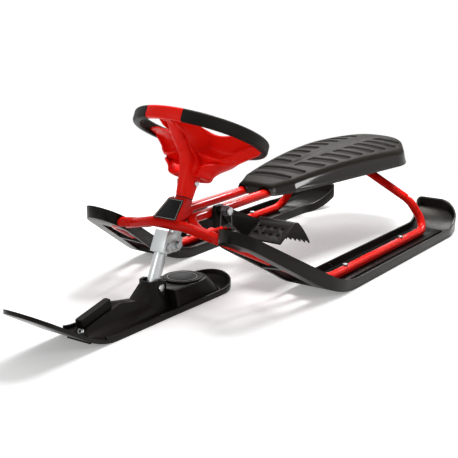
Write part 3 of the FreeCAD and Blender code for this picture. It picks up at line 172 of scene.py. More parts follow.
def finish_material(name, tones, rough, grain, drift=9.0, metallic=0.0, specular=0.5, tint=NEUTRAL,
                    scuff=None, sunk=None, polish=None):
    """A finish whose colour drifts between two tones, with moulded grain in the bump.
    rough is (middle, spread), grain is (scale, height), and scuff is (amount, colour) of the scratches.
    Where the mesh has a sunk mask, the sunk places take (colour, roughness), and where it has a polished
    mask, the polished places shine under a clear coat of (weight, roughness).
    """
    made = bpy.data.materials.new(name)
    made.use_nodes = True
    tree = made.node_tree
    shader = tree.nodes["Principled BSDF"]
    shader.inputs["Metallic"].default_value = metallic
    shader.inputs["Specular IOR Level"].default_value = specular
    shader.inputs["Specular Tint"].default_value = (*tint, 1)
    grain_scale, grain_height = grain
    grained = node(tree, "ShaderNodeGroup", node_tree=GRAIN)
    grained.inputs["Grain Scale"].default_value = grain_scale
    grained.inputs["Drift Scale"].default_value = drift
    colour = blend(tree, "RGBA", grained.outputs["Drift"], (*tones[0], 1), (*tones[1], 1))
    middle, spread = rough
    span = node(tree, "ShaderNodeMapRange", {"To Min": middle - spread, "To Max": middle + spread})
    tree.links.new(grained.outputs["Drift"], span.inputs["Value"])
    roughness = span.outputs["Result"]
    if scuff:
        amount, scratch_colour = scuff
        marks = node(tree, "ShaderNodeGroup", node_tree=SCUFF)
        worn = figure(tree, "MULTIPLY", marks.outputs["Scratch"], amount)
        colour = blend(tree, "RGBA", worn, colour, (*scratch_colour, 1))
        roughness = figure(tree, "MULTIPLY_ADD", marks.outputs["Rub"], RUB_DULLS, roughness)
    if sunk:
        sunk_colour, sunk_roughness = sunk
        mask = node(tree, "ShaderNodeAttribute", attribute_name="sunk").outputs["Fac"]
        colour = blend(tree, "RGBA", mask, colour, (*sunk_colour, 1))
        roughness = blend(tree, "FLOAT", mask, roughness, sunk_roughness)
    if polish:
        coat_weight, coat_roughness = polish
        shader.inputs["Coat Roughness"].default_value = coat_roughness
        mask = node(tree, "ShaderNodeAttribute", attribute_name="polished").outputs["Fac"]
        tree.links.new(figure(tree, "MULTIPLY", mask, coat_weight), shader.inputs["Coat Weight"])
    tree.links.new(colour, shader.inputs["Base Color"])
    tree.links.new(roughness, shader.inputs["Roughness"])
    bump = node(tree, "ShaderNodeBump", {"Strength": BUMP_STRENGTH, "Distance": grain_height})
    tree.links.new(grained.outputs["Height"], bump.inputs["Height"])
    tree.links.new(bump.outputs["Normal"], shader.inputs["Normal"])
    return made


FINISHES = {
    "red_paint": dict(
        tones=((0.60, 0.008, 0.004), (0.54, 0.007, 0.003)), rough=(0.15, 0.02), grain=(160.0, 0.00003),
        specular=0.06),
    "red_plastic": dict(
        tones=((0.92, 0.012, 0.005), (0.86, 0.009, 0.004)), rough=(0.40, 0.05), grain=(700.0, 0.0002),
        specular=0.11),
    "black_plastic": dict(
        tones=((0.0030, 0.0029, 0.0026), (0.0052, 0.0049, 0.0043)), rough=(0.30, 0.05),
        grain=(500.0, 0.0003), specular=0.12, tint=WARM, scuff=(0.2, (0.018, 0.017, 0.015))),
    "black_nylon": dict(
        tones=((0.0048, 0.0046, 0.0041), (0.008, 0.0076, 0.0068)), rough=(0.44, 0.06),
        grain=(800.0, 0.0003), specular=0.09, tint=WARM, scuff=(0.2, (0.024, 0.023, 0.020))),
    "seat_plastic": dict(
        tones=((0.0105, 0.0086, 0.0066), (0.0088, 0.0072, 0.0056)), rough=(0.46, 0.03),
        grain=(1100.0, 0.00004), specular=0.028, tint=WARM, sunk=((0.0044, 0.0037, 0.0029), 0.58),
        polish=(0.40, 0.11)),
    "grip_rubber": dict(
        tones=((0.0042, 0.0041, 0.0037), (0.012, 0.0113, 0.0098)), rough=(0.50, 0.08),
        grain=(1300.0, 0.0005), drift=22.0, specular=0.10, tint=WARM, scuff=(0.3, (0.034, 0.032, 0.028))),
    "zinc_steel": dict(
        tones=((0.50, 0.52, 0.52), (0.45, 0.47, 0.47)), rough=(0.34, 0.04), grain=(300.0, 0.00002),
        drift=30.0, metallic=1.0, scuff=(0.1, (0.56, 0.57, 0.58))),
    "spring_steel": dict(
        tones=((0.10, 0.10, 0.11), (0.15, 0.15, 0.16)), rough=(0.35, 0.08), grain=(300.0, 0.0002),
        metallic=1.0),
    "label_film": dict(
        tones=((0.004, 0.004, 0.004), (0.006, 0.006, 0.006)), rough=(0.34, 0.04), grain=(400.0, 0.0001),
        specular=0.12),
    "pale_print": dict(
        tones=((0.50, 0.48, 0.42), (0.42, 0.40, 0.35)), rough=(0.40, 0.05), grain=(400.0, 0.0001)),
}
MATERIAL = {name: finish_material(name, **finish) for name, finish in FINISHES.items()}


# Meshes and pieces

MERGE = 2e-5
FINE_MERGE = 1e-6
FLAT_ANGLE = 0.6
BEVEL_ANGLE = 32.0
BEVEL_SEGMENTS = 2
CREASE = 38.0


def mesh_from(name, build):
    """A mesh of what was built, which is then freed."""
    mesh = bpy.data.meshes.new(name)
    build.to_mesh(mesh)
    build.free()
    return mesh


def closed_up(build, distance):
    """Merges doubles and turns the faces outwards."""
    bmesh.ops.remove_doubles(build, verts=build.verts, dist=distance)
    bmesh.ops.recalc_face_normals(build, faces=build.faces)


def shade(mesh, crease):
    """Smooth shading that breaks at edges sharper than the crease angle."""
    mesh.shade_smooth()
    mesh.set_sharp_from_angle(angle=math.radians(crease))


def worked(mesh, kind, settings, inputs=None):
    """A copy of the mesh with one modifier applied."""
    workpiece = bpy.data.objects.new("workpiece", mesh)
    SCENE.collection.objects.link(workpiece)
    modifier = workpiece.modifiers.new("work", kind)
    for key, value in settings.items():
        setattr(modifier, key, value)
    for key, value in (inputs or {}).items():
        modifier[key] = value
    graph = bpy.context.evaluated_depsgraph_get()
    done = bpy.data.meshes.new_from_object(workpiece.evaluated_get(graph), depsgraph=graph)
    bpy.data.objects.remove(workpiece)
    return done


def joined(name, meshes):
    """One mesh out of several."""
    build = bmesh.new()
    for mesh in meshes:
        build.from_mesh(mesh)
    return mesh_from(name, build)


def merged_copy(node_name, flat_angle):
    """A CAD node's loose triangles merged into whole faces."""
    build = bmesh.new()
    build.from_mesh(NODES[node_name].data)
    bmesh.ops.remove_doubles(build, verts=build.verts, dist=MERGE)
    bmesh.ops.dissolve_limit(build, angle_limit=math.radians(flat_angle), verts=build.verts,
                             edges=build.edges)
    return build


def place_piece(name, mesh, node_name, slot, stands_in=True):
    """Puts a finished mesh in the scene, painted and riding its CAD node's body.
    It stands in for the node, or is added to it.
    """
    piece = bpy.data.objects.new(name, mesh)
    SCENE.collection.objects.link(piece)
    if not mesh.materials:
        mesh.materials.append(MATERIAL[slot])
    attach(piece, BODY_OF[node_name])
    if stands_in:
        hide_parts(node_name)


def dressed(node_name, width):
    """Stands in for a CAD node with the same shape, its edges rounded as moulded or formed."""
    mesh = mesh_from(node_name + "_dressed", merged_copy(node_name, FLAT_ANGLE))
    mesh.materials.clear()
    if width:
        mesh = worked(mesh, "BEVEL", {"width": width, "segments": BEVEL_SEGMENTS, "limit_method": "ANGLE",
                                      "angle_limit": math.radians(BEVEL_ANGLE), "use_clamp_overlap": True})
    shade(mesh, CREASE)
    place_piece(node_name + "_dressed", mesh, node_name, SLOT_OF[node_name])


# Curves and sheets

def clamp(value):
    """The value, kept between zero and one."""
    return min(max(value, 0.0), 1.0)


def smooth_step(value):
    """An even rise from zero to one with level ends."""
    value = clamp(value)
    return value * value * (3 - 2 * value)


def bulge(t):
    """Zero at both ends and one in the middle."""
    return 4 * t * (1 - t)


def smooth_line(points, steps):
    """A smooth curve through the points, with equal steps on every span."""
    points = [Vector(point) for point in points]
    done = []
    for index in range(len(points) - 1):
        before = points[max(index - 1, 0)]
        start, end = points[index], points[index + 1]
        after = points[min(index + 2, len(points) - 1)]
        for step in range(steps):
            t = step / steps
            slope = (end - before) * t
            bend = (2 * before - 5 * start + 4 * end - after) * t ** 2
            twist = (3 * start - before - 3 * end + after) * t ** 3
            done.append(0.5 * (2 * start + slope + bend + twist))
    return done + [points[-1]]


def grid_faces(build, rows, closed=False):
    """Quads over rows of points that all have one length."""
    rows = [[build.verts.new(point) for point in row] for row in rows]
    for near, far in zip(rows, rows[1:]):
        count = len(near)
        for index in range(count if closed else count - 1):
            after = (index + 1) % count
            build.faces.new((near[index], near[after], far[after], far[index]))
    return rows


def bead_rows(line, radius, sides):
    """Rings of a round bead along a line."""
    rows = []
    for index, point in enumerate(line):
        along = (line[min(index + 1, len(line) - 1)] - line[max(index - 1, 0)]).normalized()
        across = along.cross(Vector((0, 0, 1))).normalized()
        rise = across.cross(along)
        turns = [2 * math.pi * step / sides for step in range(sides)]
        rows.append([point + radius * (math.cos(turn) * across + math.sin(turn) * rise) for turn in turns])
    return rows


# Wheel, in millimetres in the ring's plane: f forwards, y to the left, h up the column

WHEEL_CENTRE = Vector((0.1336, 0.0, 0.3189))
STEER_AXIS = next(joint["axis"] for joint in frame["joints"] if joint["name"] == "steer")
WHEEL_TILT = math.atan2(-STEER_AXIS[0], STEER_AXIS[2])
RING_RADIUS = 128.0
WHEEL_CREASE = 40.0
SHEET_WALL = 3.4
SPINE_WALL = 3.6
WALL_BOTH_WAYS = 0.0
WALL_INWARDS = -1.0

# Scoops on the left side: upper edge, lower edge and foot as (f, y, h), and how hollow they are
SCOOP_TOP = [(116, 30, -4), (100, 31, -3), (67, 36, 0), (39, 34, 0), (24, 40, -3), (20, 52, -5.5),
             (20, 66, -6), (20, 82, -4), (19, 96, -2), (14, 112, -3), (9, 121, -4)]
SCOOP_LOW = [(112, 17, -9), (86, 16, -8), (56, 15, -28), (39, 16, -35.5), (22, 19, -42), (20, 38, -48.5),
             (16, 54, -51.5), (5, 72, -47), (-6, 91, -30), (-13, 116, -10), (-18, 121, -8)]
SCOOP_FOOT = [(100, 17, -16), (70, 18, -24), (40, 18, -44), (22, 19, -54), (6, 21, -68), (0, 36, -66),
              (0, 54, -61), (-22, 67, -52), (-29, 92, -36), (-40, 112, -19), (-44, 119, -11)]
SCOOP_DEPTH = [2, 8, 16, 20, 24, 24, 24, 22, 18, 8, 2]
FOOT_DEPTH = [0, 0, 0, 2, 12, 18, 18, 14, 10, 4, 0]
SPAN_STEPS = 5
FACE_STEPS = 12
FOOT_STEPS = 6
HOLLOW_TOP_SHARE = 0.75
HOLLOW_GAIN_SHARE = 0.5
FOOT_HOLLOW_SHARE = 0.6
FULL_UNDERCUT = 12.0
UNDERCUT_BACK = 9.0
UNDERCUT_DROP = 1.0
LIP_DROP = 2.5
EDGE_NOSE = Vector((0.5, 0, -2.2))
BEAD_AHEAD = Vector((1.0, 0, 0))
BEAD_RADIUS = 1.7
BEAD_SIDES = 8

# Bowl as (radius, h), and the turn in degrees at which it starts on each side
BOWL = [(21, -84), (34, -88), (42, -87), (46, -76), (56, -65), (75, -50), (88, -36), (105, -22), (122, -9)]
BOWL_SPAN_STEPS = 4
BOWL_TURNS = 60
BOWL_FOOT_START = 56.0
BOWL_RIM_START = 110.0
BOWL_WIDENS = (50.0, 80.0)
WINDOW_RADII = (74.0, 112.0)
WINDOW_STEPS = range(24, 36)
BOWL_RIBS = [{"f": 10, "y": 58, "low": -60, "high": -50, "back": 26},
             {"f": 2, "y": 84, "low": -44, "high": -38, "back": 22}]
RIB_LEAN = 6.0
RIB_TOE_IN = 4.0
RIB_RISE = 6.0

# Spine: front line as (f, h), half widths along it, and its section as (share of the half width, depth)
SPINE_FRONT = [(119, -8), (98, -10), (70, -31), (51, -42), (35, -54), (26, -72), (21.5, -90), (18.8, -110),
               (17.3, -126)]
SPINE_HALF = [10, 9, 9, 9.5, 10, 9.5, 8.5, 7.5, 6.5]
SPINE_SECTION = [(-1.0, 22.0), (-1.0, 3.5), (-0.93, 1.2), (-0.8, 0.3), (-0.4, 0.0), (0.4, 0.0), (0.8, 0.3),
                 (0.93, 1.2), (1.0, 3.5), (1.0, 22.0)]
SPINE_FALL_SHARE = 0.15
SPOKE_POINTS = 5
SPOKE_CROWN = 1.5
SPOKE_STEPS = 5
LEDGE = [(66, -28), (44, -31)]
LEDGE_SIDES = (8, 17)

# Sleeve as (radius, h), corners of the ring's section, and its bare stretches as (middle, reach) in degrees
SLEEVE = [(12.7, -126.6), (15.0, -126.6), (15.0, -131.2), (17.2, -131.2), (17.4, -126), (18.7, -108),
          (21, -90), (21, -52), (20.5, -51), (12.7, -51)]
SLEEVE_TURNS = 64
RIM = {"width": 16.0, "height": 25.0, "corner": 5.5}
RIM_CORE = {"width": 9.0, "height": 17.0, "corner": 3.0}
RIM_CORNERS = [(1, -1, 270), (1, 1, 0), (-1, 1, 90), (-1, -1, 180)]
CORNER_STEPS = 5
CORE_TURNS = 96
BARE_RIM = [(0.0, 17.8), (180.0, 13.8)]
BARE_STEPS = 24


def wheel_point(f, y, h):
    """From the wheel's own millimetres to the sled's frame."""
    ahead = math.cos(WHEEL_TILT) * f - math.sin(WHEEL_TILT) * h
    up = math.sin(WHEEL_TILT) * f + math.cos(WHEEL_TILT) * h
    return WHEEL_CENTRE + Vector((ahead, y, up)) * MM


def on_side(side, rows):
    """Rows of wheel points on the left side (1) or mirrored to the right (-1), in the sled's frame."""
    return [[wheel_point(point.x, side * point.y, point.z) for point in row] for row in rows]


def turned(section, turn):
    """A (radius, height) section at one turn round the column."""
    return [wheel_point(math.cos(turn) * r, math.sin(turn) * r, h) for r, h in section]


def full_turn(build, section, turns):
    """A closed section turned all the way round the column."""
    rows = [turned(section, 2 * math.pi * step / turns) for step in range(turns)]
    grid_faces(build, rows + rows[:1], closed=True)


def sheet_mesh(name, build, wall, offset):
    """A sheet of quads given a wall."""
    bmesh.ops.recalc_face_normals(build, faces=build.faces)
    mesh = worked(mesh_from(name, build), "SOLIDIFY", {"thickness": wall * MM, "offset": offset})
    shade(mesh, WHEEL_CREASE)
    return mesh


def scoop_line(top, low, foot, depth):
    """One line of a scoop: down its hollow face, round the edge and along the undercut wall to the bowl."""
    under = min(depth.y / FULL_UNDERCUT, 1.0)
    lip = low + Vector((-UNDERCUT_BACK * under, 0, -LIP_DROP - UNDERCUT_DROP * under))
    line = []
    for step in range(FACE_STEPS + 1):
        t = step / FACE_STEPS
        hollow = depth.x * bulge(t) * (HOLLOW_TOP_SHARE + HOLLOW_GAIN_SHARE * t)
        line.append(top.lerp(low, t) - Vector((hollow, 0, 0)))
    line.append(low + EDGE_NOSE)
    for step in range(FOOT_STEPS + 1):
        t = step / FOOT_STEPS
        line.append(lip.lerp(foot, t) - Vector((FOOT_HOLLOW_SHARE * depth.y * bulge(t), 0, 0)))
    return line


def scoops():
    """Two hollow scoops beside the spine, each with a round bead along its edge."""
    walls = bmesh.new()
    beads = bmesh.new()
    lows = smooth_line(SCOOP_LOW, SPAN_STEPS)
    depths = smooth_line([(*depth, 0) for depth in zip(SCOOP_DEPTH, FOOT_DEPTH)], SPAN_STEPS)
    lines = zip(smooth_line(SCOOP_TOP, SPAN_STEPS), lows, smooth_line(SCOOP_FOOT, SPAN_STEPS), depths)
    wall_rows = [scoop_line(*places) for places in lines]
    edge_rows = bead_rows([low + BEAD_AHEAD for low in lows], BEAD_RADIUS, BEAD_SIDES)
    for side in (1, -1):
        grid_faces(walls, on_side(side, wall_rows))
        grid_faces(beads, on_side(side, edge_rows), closed=True)
    bmesh.ops.recalc_face_normals(beads, faces=beads.faces)
    bead_mesh = mesh_from("scoop_beads", beads)
    bead_mesh.shade_smooth()
    return joined("scoops", [sheet_mesh("scoop_walls", walls, SHEET_WALL, WALL_BOTH_WAYS), bead_mesh])


def bowl():
    """Bowl behind the scoops, open to the front, with a window at the rear and two ribs on each side."""
    build = bmesh.new()
    profile = smooth_line([(r, 0, h) for r, h in BOWL], BOWL_SPAN_STEPS)
    rows = []
    for point in profile:
        widening = clamp((point.x - BOWL_WIDENS[0]) / (BOWL_WIDENS[1] - BOWL_WIDENS[0]))
        start = BOWL_FOOT_START + (BOWL_RIM_START - BOWL_FOOT_START) * widening
        sweep = 360 - 2 * start
        turns = [math.radians(start + sweep * step / BOWL_TURNS) for step in range(BOWL_TURNS + 1)]
        rows.append([turned([(point.x, point.z)], turn)[0] for turn in turns])
    made = grid_faces(build, rows)
    for level in range(len(profile) - 1):
        radius = (profile[level].x + profile[level + 1].x) / 2
        if WINDOW_RADII[0] < radius < WINDOW_RADII[1]:
            for step in WINDOW_STEPS:
                corner, opposite = made[level][step], made[level + 1][step + 1]
                build.faces.remove(next(face for face in corner.link_faces if opposite in face.verts))
    for rib in BOWL_RIBS:
        f, y, low, high = rib["f"], rib["y"], rib["low"], rib["high"]
        rear = f - rib["back"]
        near = [Vector((f, y, high)), Vector((f - RIB_LEAN, y, low))]
        far = [Vector((rear, y - RIB_TOE_IN, high + RIB_RISE)), Vector((rear, y, low))]
        for side in (1, -1):
            grid_faces(build, on_side(side, [near, far]))
    return sheet_mesh("bowl", build, SHEET_WALL, WALL_BOTH_WAYS)


def spine():
    """Front column from the ring down to the sleeve, crowned top of the spoke and a ledge on each side."""
    build = bmesh.new()
    line = smooth_line([(f, half, h) for (f, h), half in zip(SPINE_FRONT, SPINE_HALF)], SPAN_STEPS)
    column = [[Vector((point.x - back, point.y * share, point.z - SPINE_FALL_SHARE * back))
               for share, back in SPINE_SECTION] for point in line]
    grid_faces(build, on_side(1, column))
    across = [step / SPOKE_STEPS - 1 for step in range(2 * SPOKE_STEPS + 1)]
    top = smooth_line(SCOOP_TOP[:SPOKE_POINTS], SPAN_STEPS)
    spoke = [[Vector((point.x, point.y * share, point.z + SPOKE_CROWN - SPOKE_CROWN * share ** 2))
              for share in across] for point in top]
    grid_faces(build, on_side(1, spoke))
    ledge = [[Vector((f, y, h)) for y in LEDGE_SIDES] for f, h in LEDGE]
    for side in (1, -1):
        grid_faces(build, on_side(side, ledge))
    return sheet_mesh("spine", build, SPINE_WALL, WALL_INWARDS)


def rim_section(width, height, corner):
    """Rounded oblong (radius, height) of the ring."""
    done = []
    for outwards, upwards, start in RIM_CORNERS:
        for step in range(CORNER_STEPS + 1):
            turn = math.radians(start + 90 * step / CORNER_STEPS)
            done.append((RING_RADIUS + outwards * (width / 2 - corner) + corner * math.cos(turn),
                         upwards * (height / 2 - corner) + corner * math.sin(turn)))
    return done


def sleeve_and_rim():
    """Sleeve round the column, the ring's core and its two stretches without a grip."""
    build = bmesh.new()
    full_turn(build, SLEEVE, SLEEVE_TURNS)
    for middle, reach in BARE_RIM:
        start = middle - reach
        turns = [math.radians(start + 2 * reach * step / BARE_STEPS) for step in range(BARE_STEPS + 1)]
        ends = grid_faces(build, [turned(rim_section(**RIM), turn) for turn in turns], closed=True)
        build.faces.new(ends[0])
        build.faces.new(ends[-1])
    full_turn(build, rim_section(**RIM_CORE), CORE_TURNS)
    closed_up(build, FINE_MERGE)
    mesh = mesh_from("sleeve_and_rim", build)
    shade(mesh, WHEEL_CREASE)
    return mesh


def wheel():
    """Wheel moulding under the grips, as one piece."""
    mesh = joined("wheel_moulding", [scoops(), bowl(), spine(), sleeve_and_rim()])
    place_piece("wheel_moulding", mesh, "wheel_body", SLOT_OF["wheel_body"])


# Seat, in millimetres: rings from its underside, down the skirt, round the lip, up and over the tread

SEAT_BOX = [[round(value / MM, 1) for value in corner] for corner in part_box("seat_shell")]
SEAT_LIP = 3.0
SEAT_REAR = SEAT_BOX[0][0] + SEAT_LIP
SEAT_FRONT = SEAT_BOX[1][0] - SEAT_LIP
SEAT_LOW = SEAT_BOX[0][2]
SEAT_TOP = SEAT_BOX[1][2]
SEAT_HIP_AHEAD = 111.0
SEAT_CHEEK_BACK = 66.0
SEAT_HIP = SEAT_REAR + SEAT_HIP_AHEAD
SEAT_CHEEK = SEAT_FRONT - SEAT_CHEEK_BACK
# Outline of the left half as (x, y, corner radius), and its half widths as (x, y)
SEAT_CORNERS = [(SEAT_FRONT, 42, 34), (SEAT_CHEEK, 68, 16), (SEAT_HIP, 130, 100), (SEAT_REAR, 67, 60)]
SEAT_HALF_WIDTHS = [(SEAT_REAR, 64), (-610, 94), (-575, 112), (-520, 124), (SEAT_CHEEK, 67),
                    (SEAT_FRONT, 42)]
SEAT_COLUMNS = 640
SEAT_CREASE = 50.0
ARC_STEPS = 40
SIDE_ROOM_SHARE = 0.497
TINY = 1e-9
MIDDLE_REAR = -555.0
MIDDLE_FRONT = -110.0

SEAT_APEX_AHEAD = 177.0
SEAT_APEX = SEAT_REAR + SEAT_APEX_AHEAD
SEAT_SAG = 30.0
SEAT_LONG_RADIUS = round(((SEAT_FRONT - SEAT_APEX) ** 2 + SEAT_SAG ** 2) / (2 * SEAT_SAG), 1)
SEAT_CROSS_RADIUS = 420.0
SEAT_EDGE = 13.0
SHOULDER_START = math.radians(16.0)
SHOULDER_STEPS = 8
SHOULDER_DROP = 5.0

UNDERSIDE_DROP = 8.0
UNDERSIDE_REACH = 160.0
UNDERSIDE_SHARES = (1.0, 0.75, 0.5, 0.25, 0.06)
SKIRT_INSIDE = 4.0
SKIRT_TOP_DROP = 20.0
WALL_FOOT = -1.2
# Rings of the skirt's foot and its lip as (inset, rise over the foot)
SKIRT_STEPS = [(3.0, 4.0), (2.6, 0.0), (-3.0, 0.0), (-3.2, 0.6), (-3.2, 2.8), (-2.6, 3.4), (-1.6, 3.8),
               (WALL_FOOT, 5.0)]
WALL_LEAN = 3.0
WALL_SHARES = (0.3, 0.5, 0.7, 0.9)
NOTCH_END = -90.0
NOTCH_SIDE = 28.0
NOTCH_RADIUS = 14.0
NOTCH_HEIGHT = 166.0

TREAD_RINGS = 64
PAD_DEPTH = 3.2
PAD_EDGE = 5.0
PAD_ROUND = 8.0
PAD_END_ROOM = 2.0
PAD_SIDE_ROOM = 4.0
PANEL_FRONTS = (-103.8, -153.6)
PANEL_LENGTH = 28.0
PANEL_MARGIN = 17.0
PANEL_INNER = -1000.0
PAD_FIRST = -201.5
PAD_PITCH = 49.85
PAD_COUNT = 8
PAD_LENGTH = 29.0
PAD_SWEEP = 20.0
PAD_WIDTH_BACK = 26.0
PAD_MARGIN = 15.0
PAD_MARGIN_GAIN = 1.4
PAD_INNER = 9.0
PAD_INNER_GAIN = 5.0
PAD_INNER_LAST = 3.4

CHANNEL_DEPTH = 4.0
CHANNEL_FRONT = -175.0
CHANNEL_FRONT_FADE = 70.0
CHANNEL_REAR = -640.0
CHANNEL_REAR_FADE = 40.0
CHANNEL_HALF = 5.0
CHANNEL_GAIN = 24.0
CHANNEL_WIDENS = -190.0
CHANNEL_WIDENS_OVER = 230.0
CHANNEL_EDGE_SHARE = 1.1


def corner_arc(before, corner, after, radius):
    """Points of the arc that rounds a corner of an outline."""
    to_before, to_after = before - corner, after - corner
    back, ahead = to_before.normalized(), to_after.normalized()
    half = back.angle(ahead) / 2
    reach = min(radius / math.tan(half), min(to_before.length, to_after.length) * SIDE_ROOM_SHARE)
    centre = corner + (back + ahead).normalized() * (reach * math.tan(half) / math.sin(half))
    start = corner + back * reach - centre
    sweep = (corner + ahead * reach - centre).angle_signed(start)
    arc = []
    for step in range(ARC_STEPS + 1):
        cosine, sine = math.cos(sweep * step / ARC_STEPS), math.sin(sweep * step / ARC_STEPS)
        arc.append(centre + Vector((start.x * cosine - start.y * sine, start.x * sine + start.y * cosine)))
    return arc


def rounded_outline(corners, count):
    """Evenly spaced points round a closed outline of (x, y, radius) corners."""
    places = [Vector((x, y)) for x, y, radius in corners]
    fine = []
    for index, (x, y, radius) in enumerate(corners):
        fine += corner_arc(places[index - 1], places[index], places[(index + 1) % len(places)], radius)
    lengths = [0.0]
    for index in range(len(fine)):
        lengths.append(lengths[-1] + (fine[(index + 1) % len(fine)] - fine[index]).length)
    done = []
    place = 0
    for step in range(count):
        want = lengths[-1] * step / count
        while lengths[place + 1] < want:
            place += 1
        span = max(lengths[place + 1] - lengths[place], TINY)
        done.append(fine[place].lerp(fine[(place + 1) % len(fine)], (want - lengths[place]) / span))
    return done


def seat_dome(x, y):
    """Height of the seat's domed top without its tread."""
    cross = SEAT_CROSS_RADIUS - math.sqrt(SEAT_CROSS_RADIUS ** 2 - y ** 2)
    run = x - SEAT_APEX
    return SEAT_TOP - cross - (SEAT_LONG_RADIUS - math.sqrt(SEAT_LONG_RADIUS ** 2 - run ** 2))


def seat_half_width(x):
    """Half width of the seat at a place along it."""
    for (back, low), (front, high) in zip(SEAT_HALF_WIDTHS, SEAT_HALF_WIDTHS[1:]):
        if x <= front:
            return low + (high - low) * (x - back) / (front - back)
    return SEAT_HALF_WIDTHS[-1][1]


def tread_pads():
    """Sunk panels across the front and swept pads behind, as (front x, rear x, inner y, outer y, sweep)."""
    pads = []
    for front in PANEL_FRONTS:
        outer = seat_half_width(front - PANEL_LENGTH / 2) - PANEL_MARGIN
        pads.append((front, front - PANEL_LENGTH, PANEL_INNER, outer, 0.0))
    for step in range(PAD_COUNT):
        front = PAD_FIRST - PAD_PITCH * step
        inner = PAD_INNER + PAD_INNER_GAIN * min(step, PAD_INNER_LAST)
        outer = seat_half_width(front - PAD_WIDTH_BACK) - PAD_MARGIN - PAD_MARGIN_GAIN * step
        pads.append((front, front - PAD_LENGTH, inner, outer, PAD_SWEEP))
    return pads


PADS = tread_pads()


def tread_drop(x, y):
    """How far the tread is sunk at a place: rounded oblong pads with soft edges."""
    y = abs(y)
    drop = 0.0
    for front, rear, inner, outer, sweep in PADS:
        if y > outer + PAD_SIDE_ROOM or x > front + PAD_END_ROOM or x < rear - sweep - PAD_END_ROOM:
            continue
        share = (y - max(inner, 0)) / max(outer - max(inner, 0), 1)
        lean = x + sweep * share
        along = abs(lean - (front + rear) / 2) - (front - rear) / 2 + PAD_ROUND
        across = abs(y - (inner + outer) / 2) - (outer - inner) / 2 + PAD_ROUND
        gap = math.hypot(max(along, 0), max(across, 0)) + min(max(along, across), 0) - PAD_ROUND
        drop = max(drop, smooth_step(0.5 - gap / PAD_EDGE))
    return drop * PAD_DEPTH


def channel_drop(x, y):
    """Shallow channel along the middle that widens to the rear."""
    front = smooth_step((CHANNEL_FRONT - x) / CHANNEL_FRONT_FADE)
    rear = smooth_step((x - CHANNEL_REAR) / CHANNEL_REAR_FADE)
    half = CHANNEL_HALF + CHANNEL_GAIN * clamp((CHANNEL_WIDENS - x) / CHANNEL_WIDENS_OVER)
    return CHANNEL_DEPTH * front * rear * smooth_step(CHANNEL_EDGE_SHARE - abs(y) / half)


def skirt_foot(place):
    """Height of the skirt's lower edge, arched over the two frame tubes at the front."""
    side = abs(abs(place.y) - NOTCH_SIDE)
    if place.x <= NOTCH_END or side >= NOTCH_RADIUS:
        return SEAT_LOW
    return max(SEAT_LOW, NOTCH_HEIGHT + math.sqrt(NOTCH_RADIUS ** 2 - side ** 2))


def above_foot(rise):
    """A ring's height over the skirt's foot."""
    return lambda place, point: skirt_foot(place) + rise


def below_dome(drop):
    """A ring's height under the domed top."""
    return lambda place, point: seat_dome(place.x, place.y) - drop


def up_wall(share):
    """A ring's height as a share of the way from the skirt's foot to the rounded shoulder."""
    def height(place, point):
        foot = skirt_foot(place)
        shoulder = seat_dome(point.x, point.y) - SEAT_EDGE * (1 - math.sin(SHOULDER_START))
        return foot + share * (shoulder - foot)
    return height


def seat_levels():
    """(inset, height) of the rings of the underside, the skirt, the wall and the rounded shoulder."""
    underside = below_dome(UNDERSIDE_DROP)
    levels = [(SKIRT_INSIDE + UNDERSIDE_REACH * share, underside) for share in UNDERSIDE_SHARES]
    levels.append((SKIRT_INSIDE, lambda place, point: seat_dome(point.x, point.y) - SKIRT_TOP_DROP))
    levels += [(inset, above_foot(rise)) for inset, rise in SKIRT_STEPS]
    levels += [(WALL_FOOT * (1 - share) + WALL_LEAN * share ** 2, up_wall(share)) for share in WALL_SHARES]
    for step in range(SHOULDER_STEPS + 1):
        turn = SHOULDER_START + (math.pi / 2 - SHOULDER_START) * step / SHOULDER_STEPS
        inset = WALL_LEAN + SEAT_EDGE * (math.cos(SHOULDER_START) - math.cos(turn))
        levels.append((inset, below_dome(SEAT_EDGE * (1 - math.sin(turn)))))
    return levels


def seat_rows():
    """All rings of the seat, each with a point for every point of its outline."""
    mirrored = [(x, -y, radius) for x, y, radius in reversed(SEAT_CORNERS)]
    outline = rounded_outline(SEAT_CORNERS + mirrored, SEAT_COLUMNS)
    middle = [Vector((min(max(point.x, MIDDLE_REAR), MIDDLE_FRONT), 0)) for point in outline]
    rows = []
    for inset, height in seat_levels():
        row = []
        for point, axis in zip(outline, middle):
            place = point.lerp(axis, min(inset / (axis - point).length, 1.0))
            row.append(Vector((place.x, place.y, height(place, point))))
        rows.append(row)
    shoulder = WALL_LEAN + SEAT_EDGE * math.cos(SHOULDER_START)
    for step in range(1, TREAD_RINGS + 1):
        row = []
        for point, axis in zip(outline, middle):
            run = (axis - point).length - shoulder
            x, y = point.lerp(axis, (shoulder + run * step / TREAD_RINGS) / (run + shoulder))
            row.append(Vector((x, y, seat_dome(x, y) - tread_drop(x, y) - channel_drop(x, y))))
        rows.append(row)
    return rows


def seat_masks(mesh):
    """Marks the sunk pads of the tread and the polished wall for the seat's finish."""
    sunk = mesh.attributes.new("sunk", "FLOAT", "POINT")
    polished = mesh.attributes.new("polished", "FLOAT", "POINT")
    for vertex, dull, gloss in zip(mesh.vertices, sunk.data, polished.data):
        x, y, z = vertex.co / MM
        below = seat_dome(x, y) - z
        dull.value = tread_drop(x, y) / PAD_DEPTH if below < SHOULDER_DROP else 0.0
        gloss.value = smooth_step(below / SHOULDER_DROP - 1)


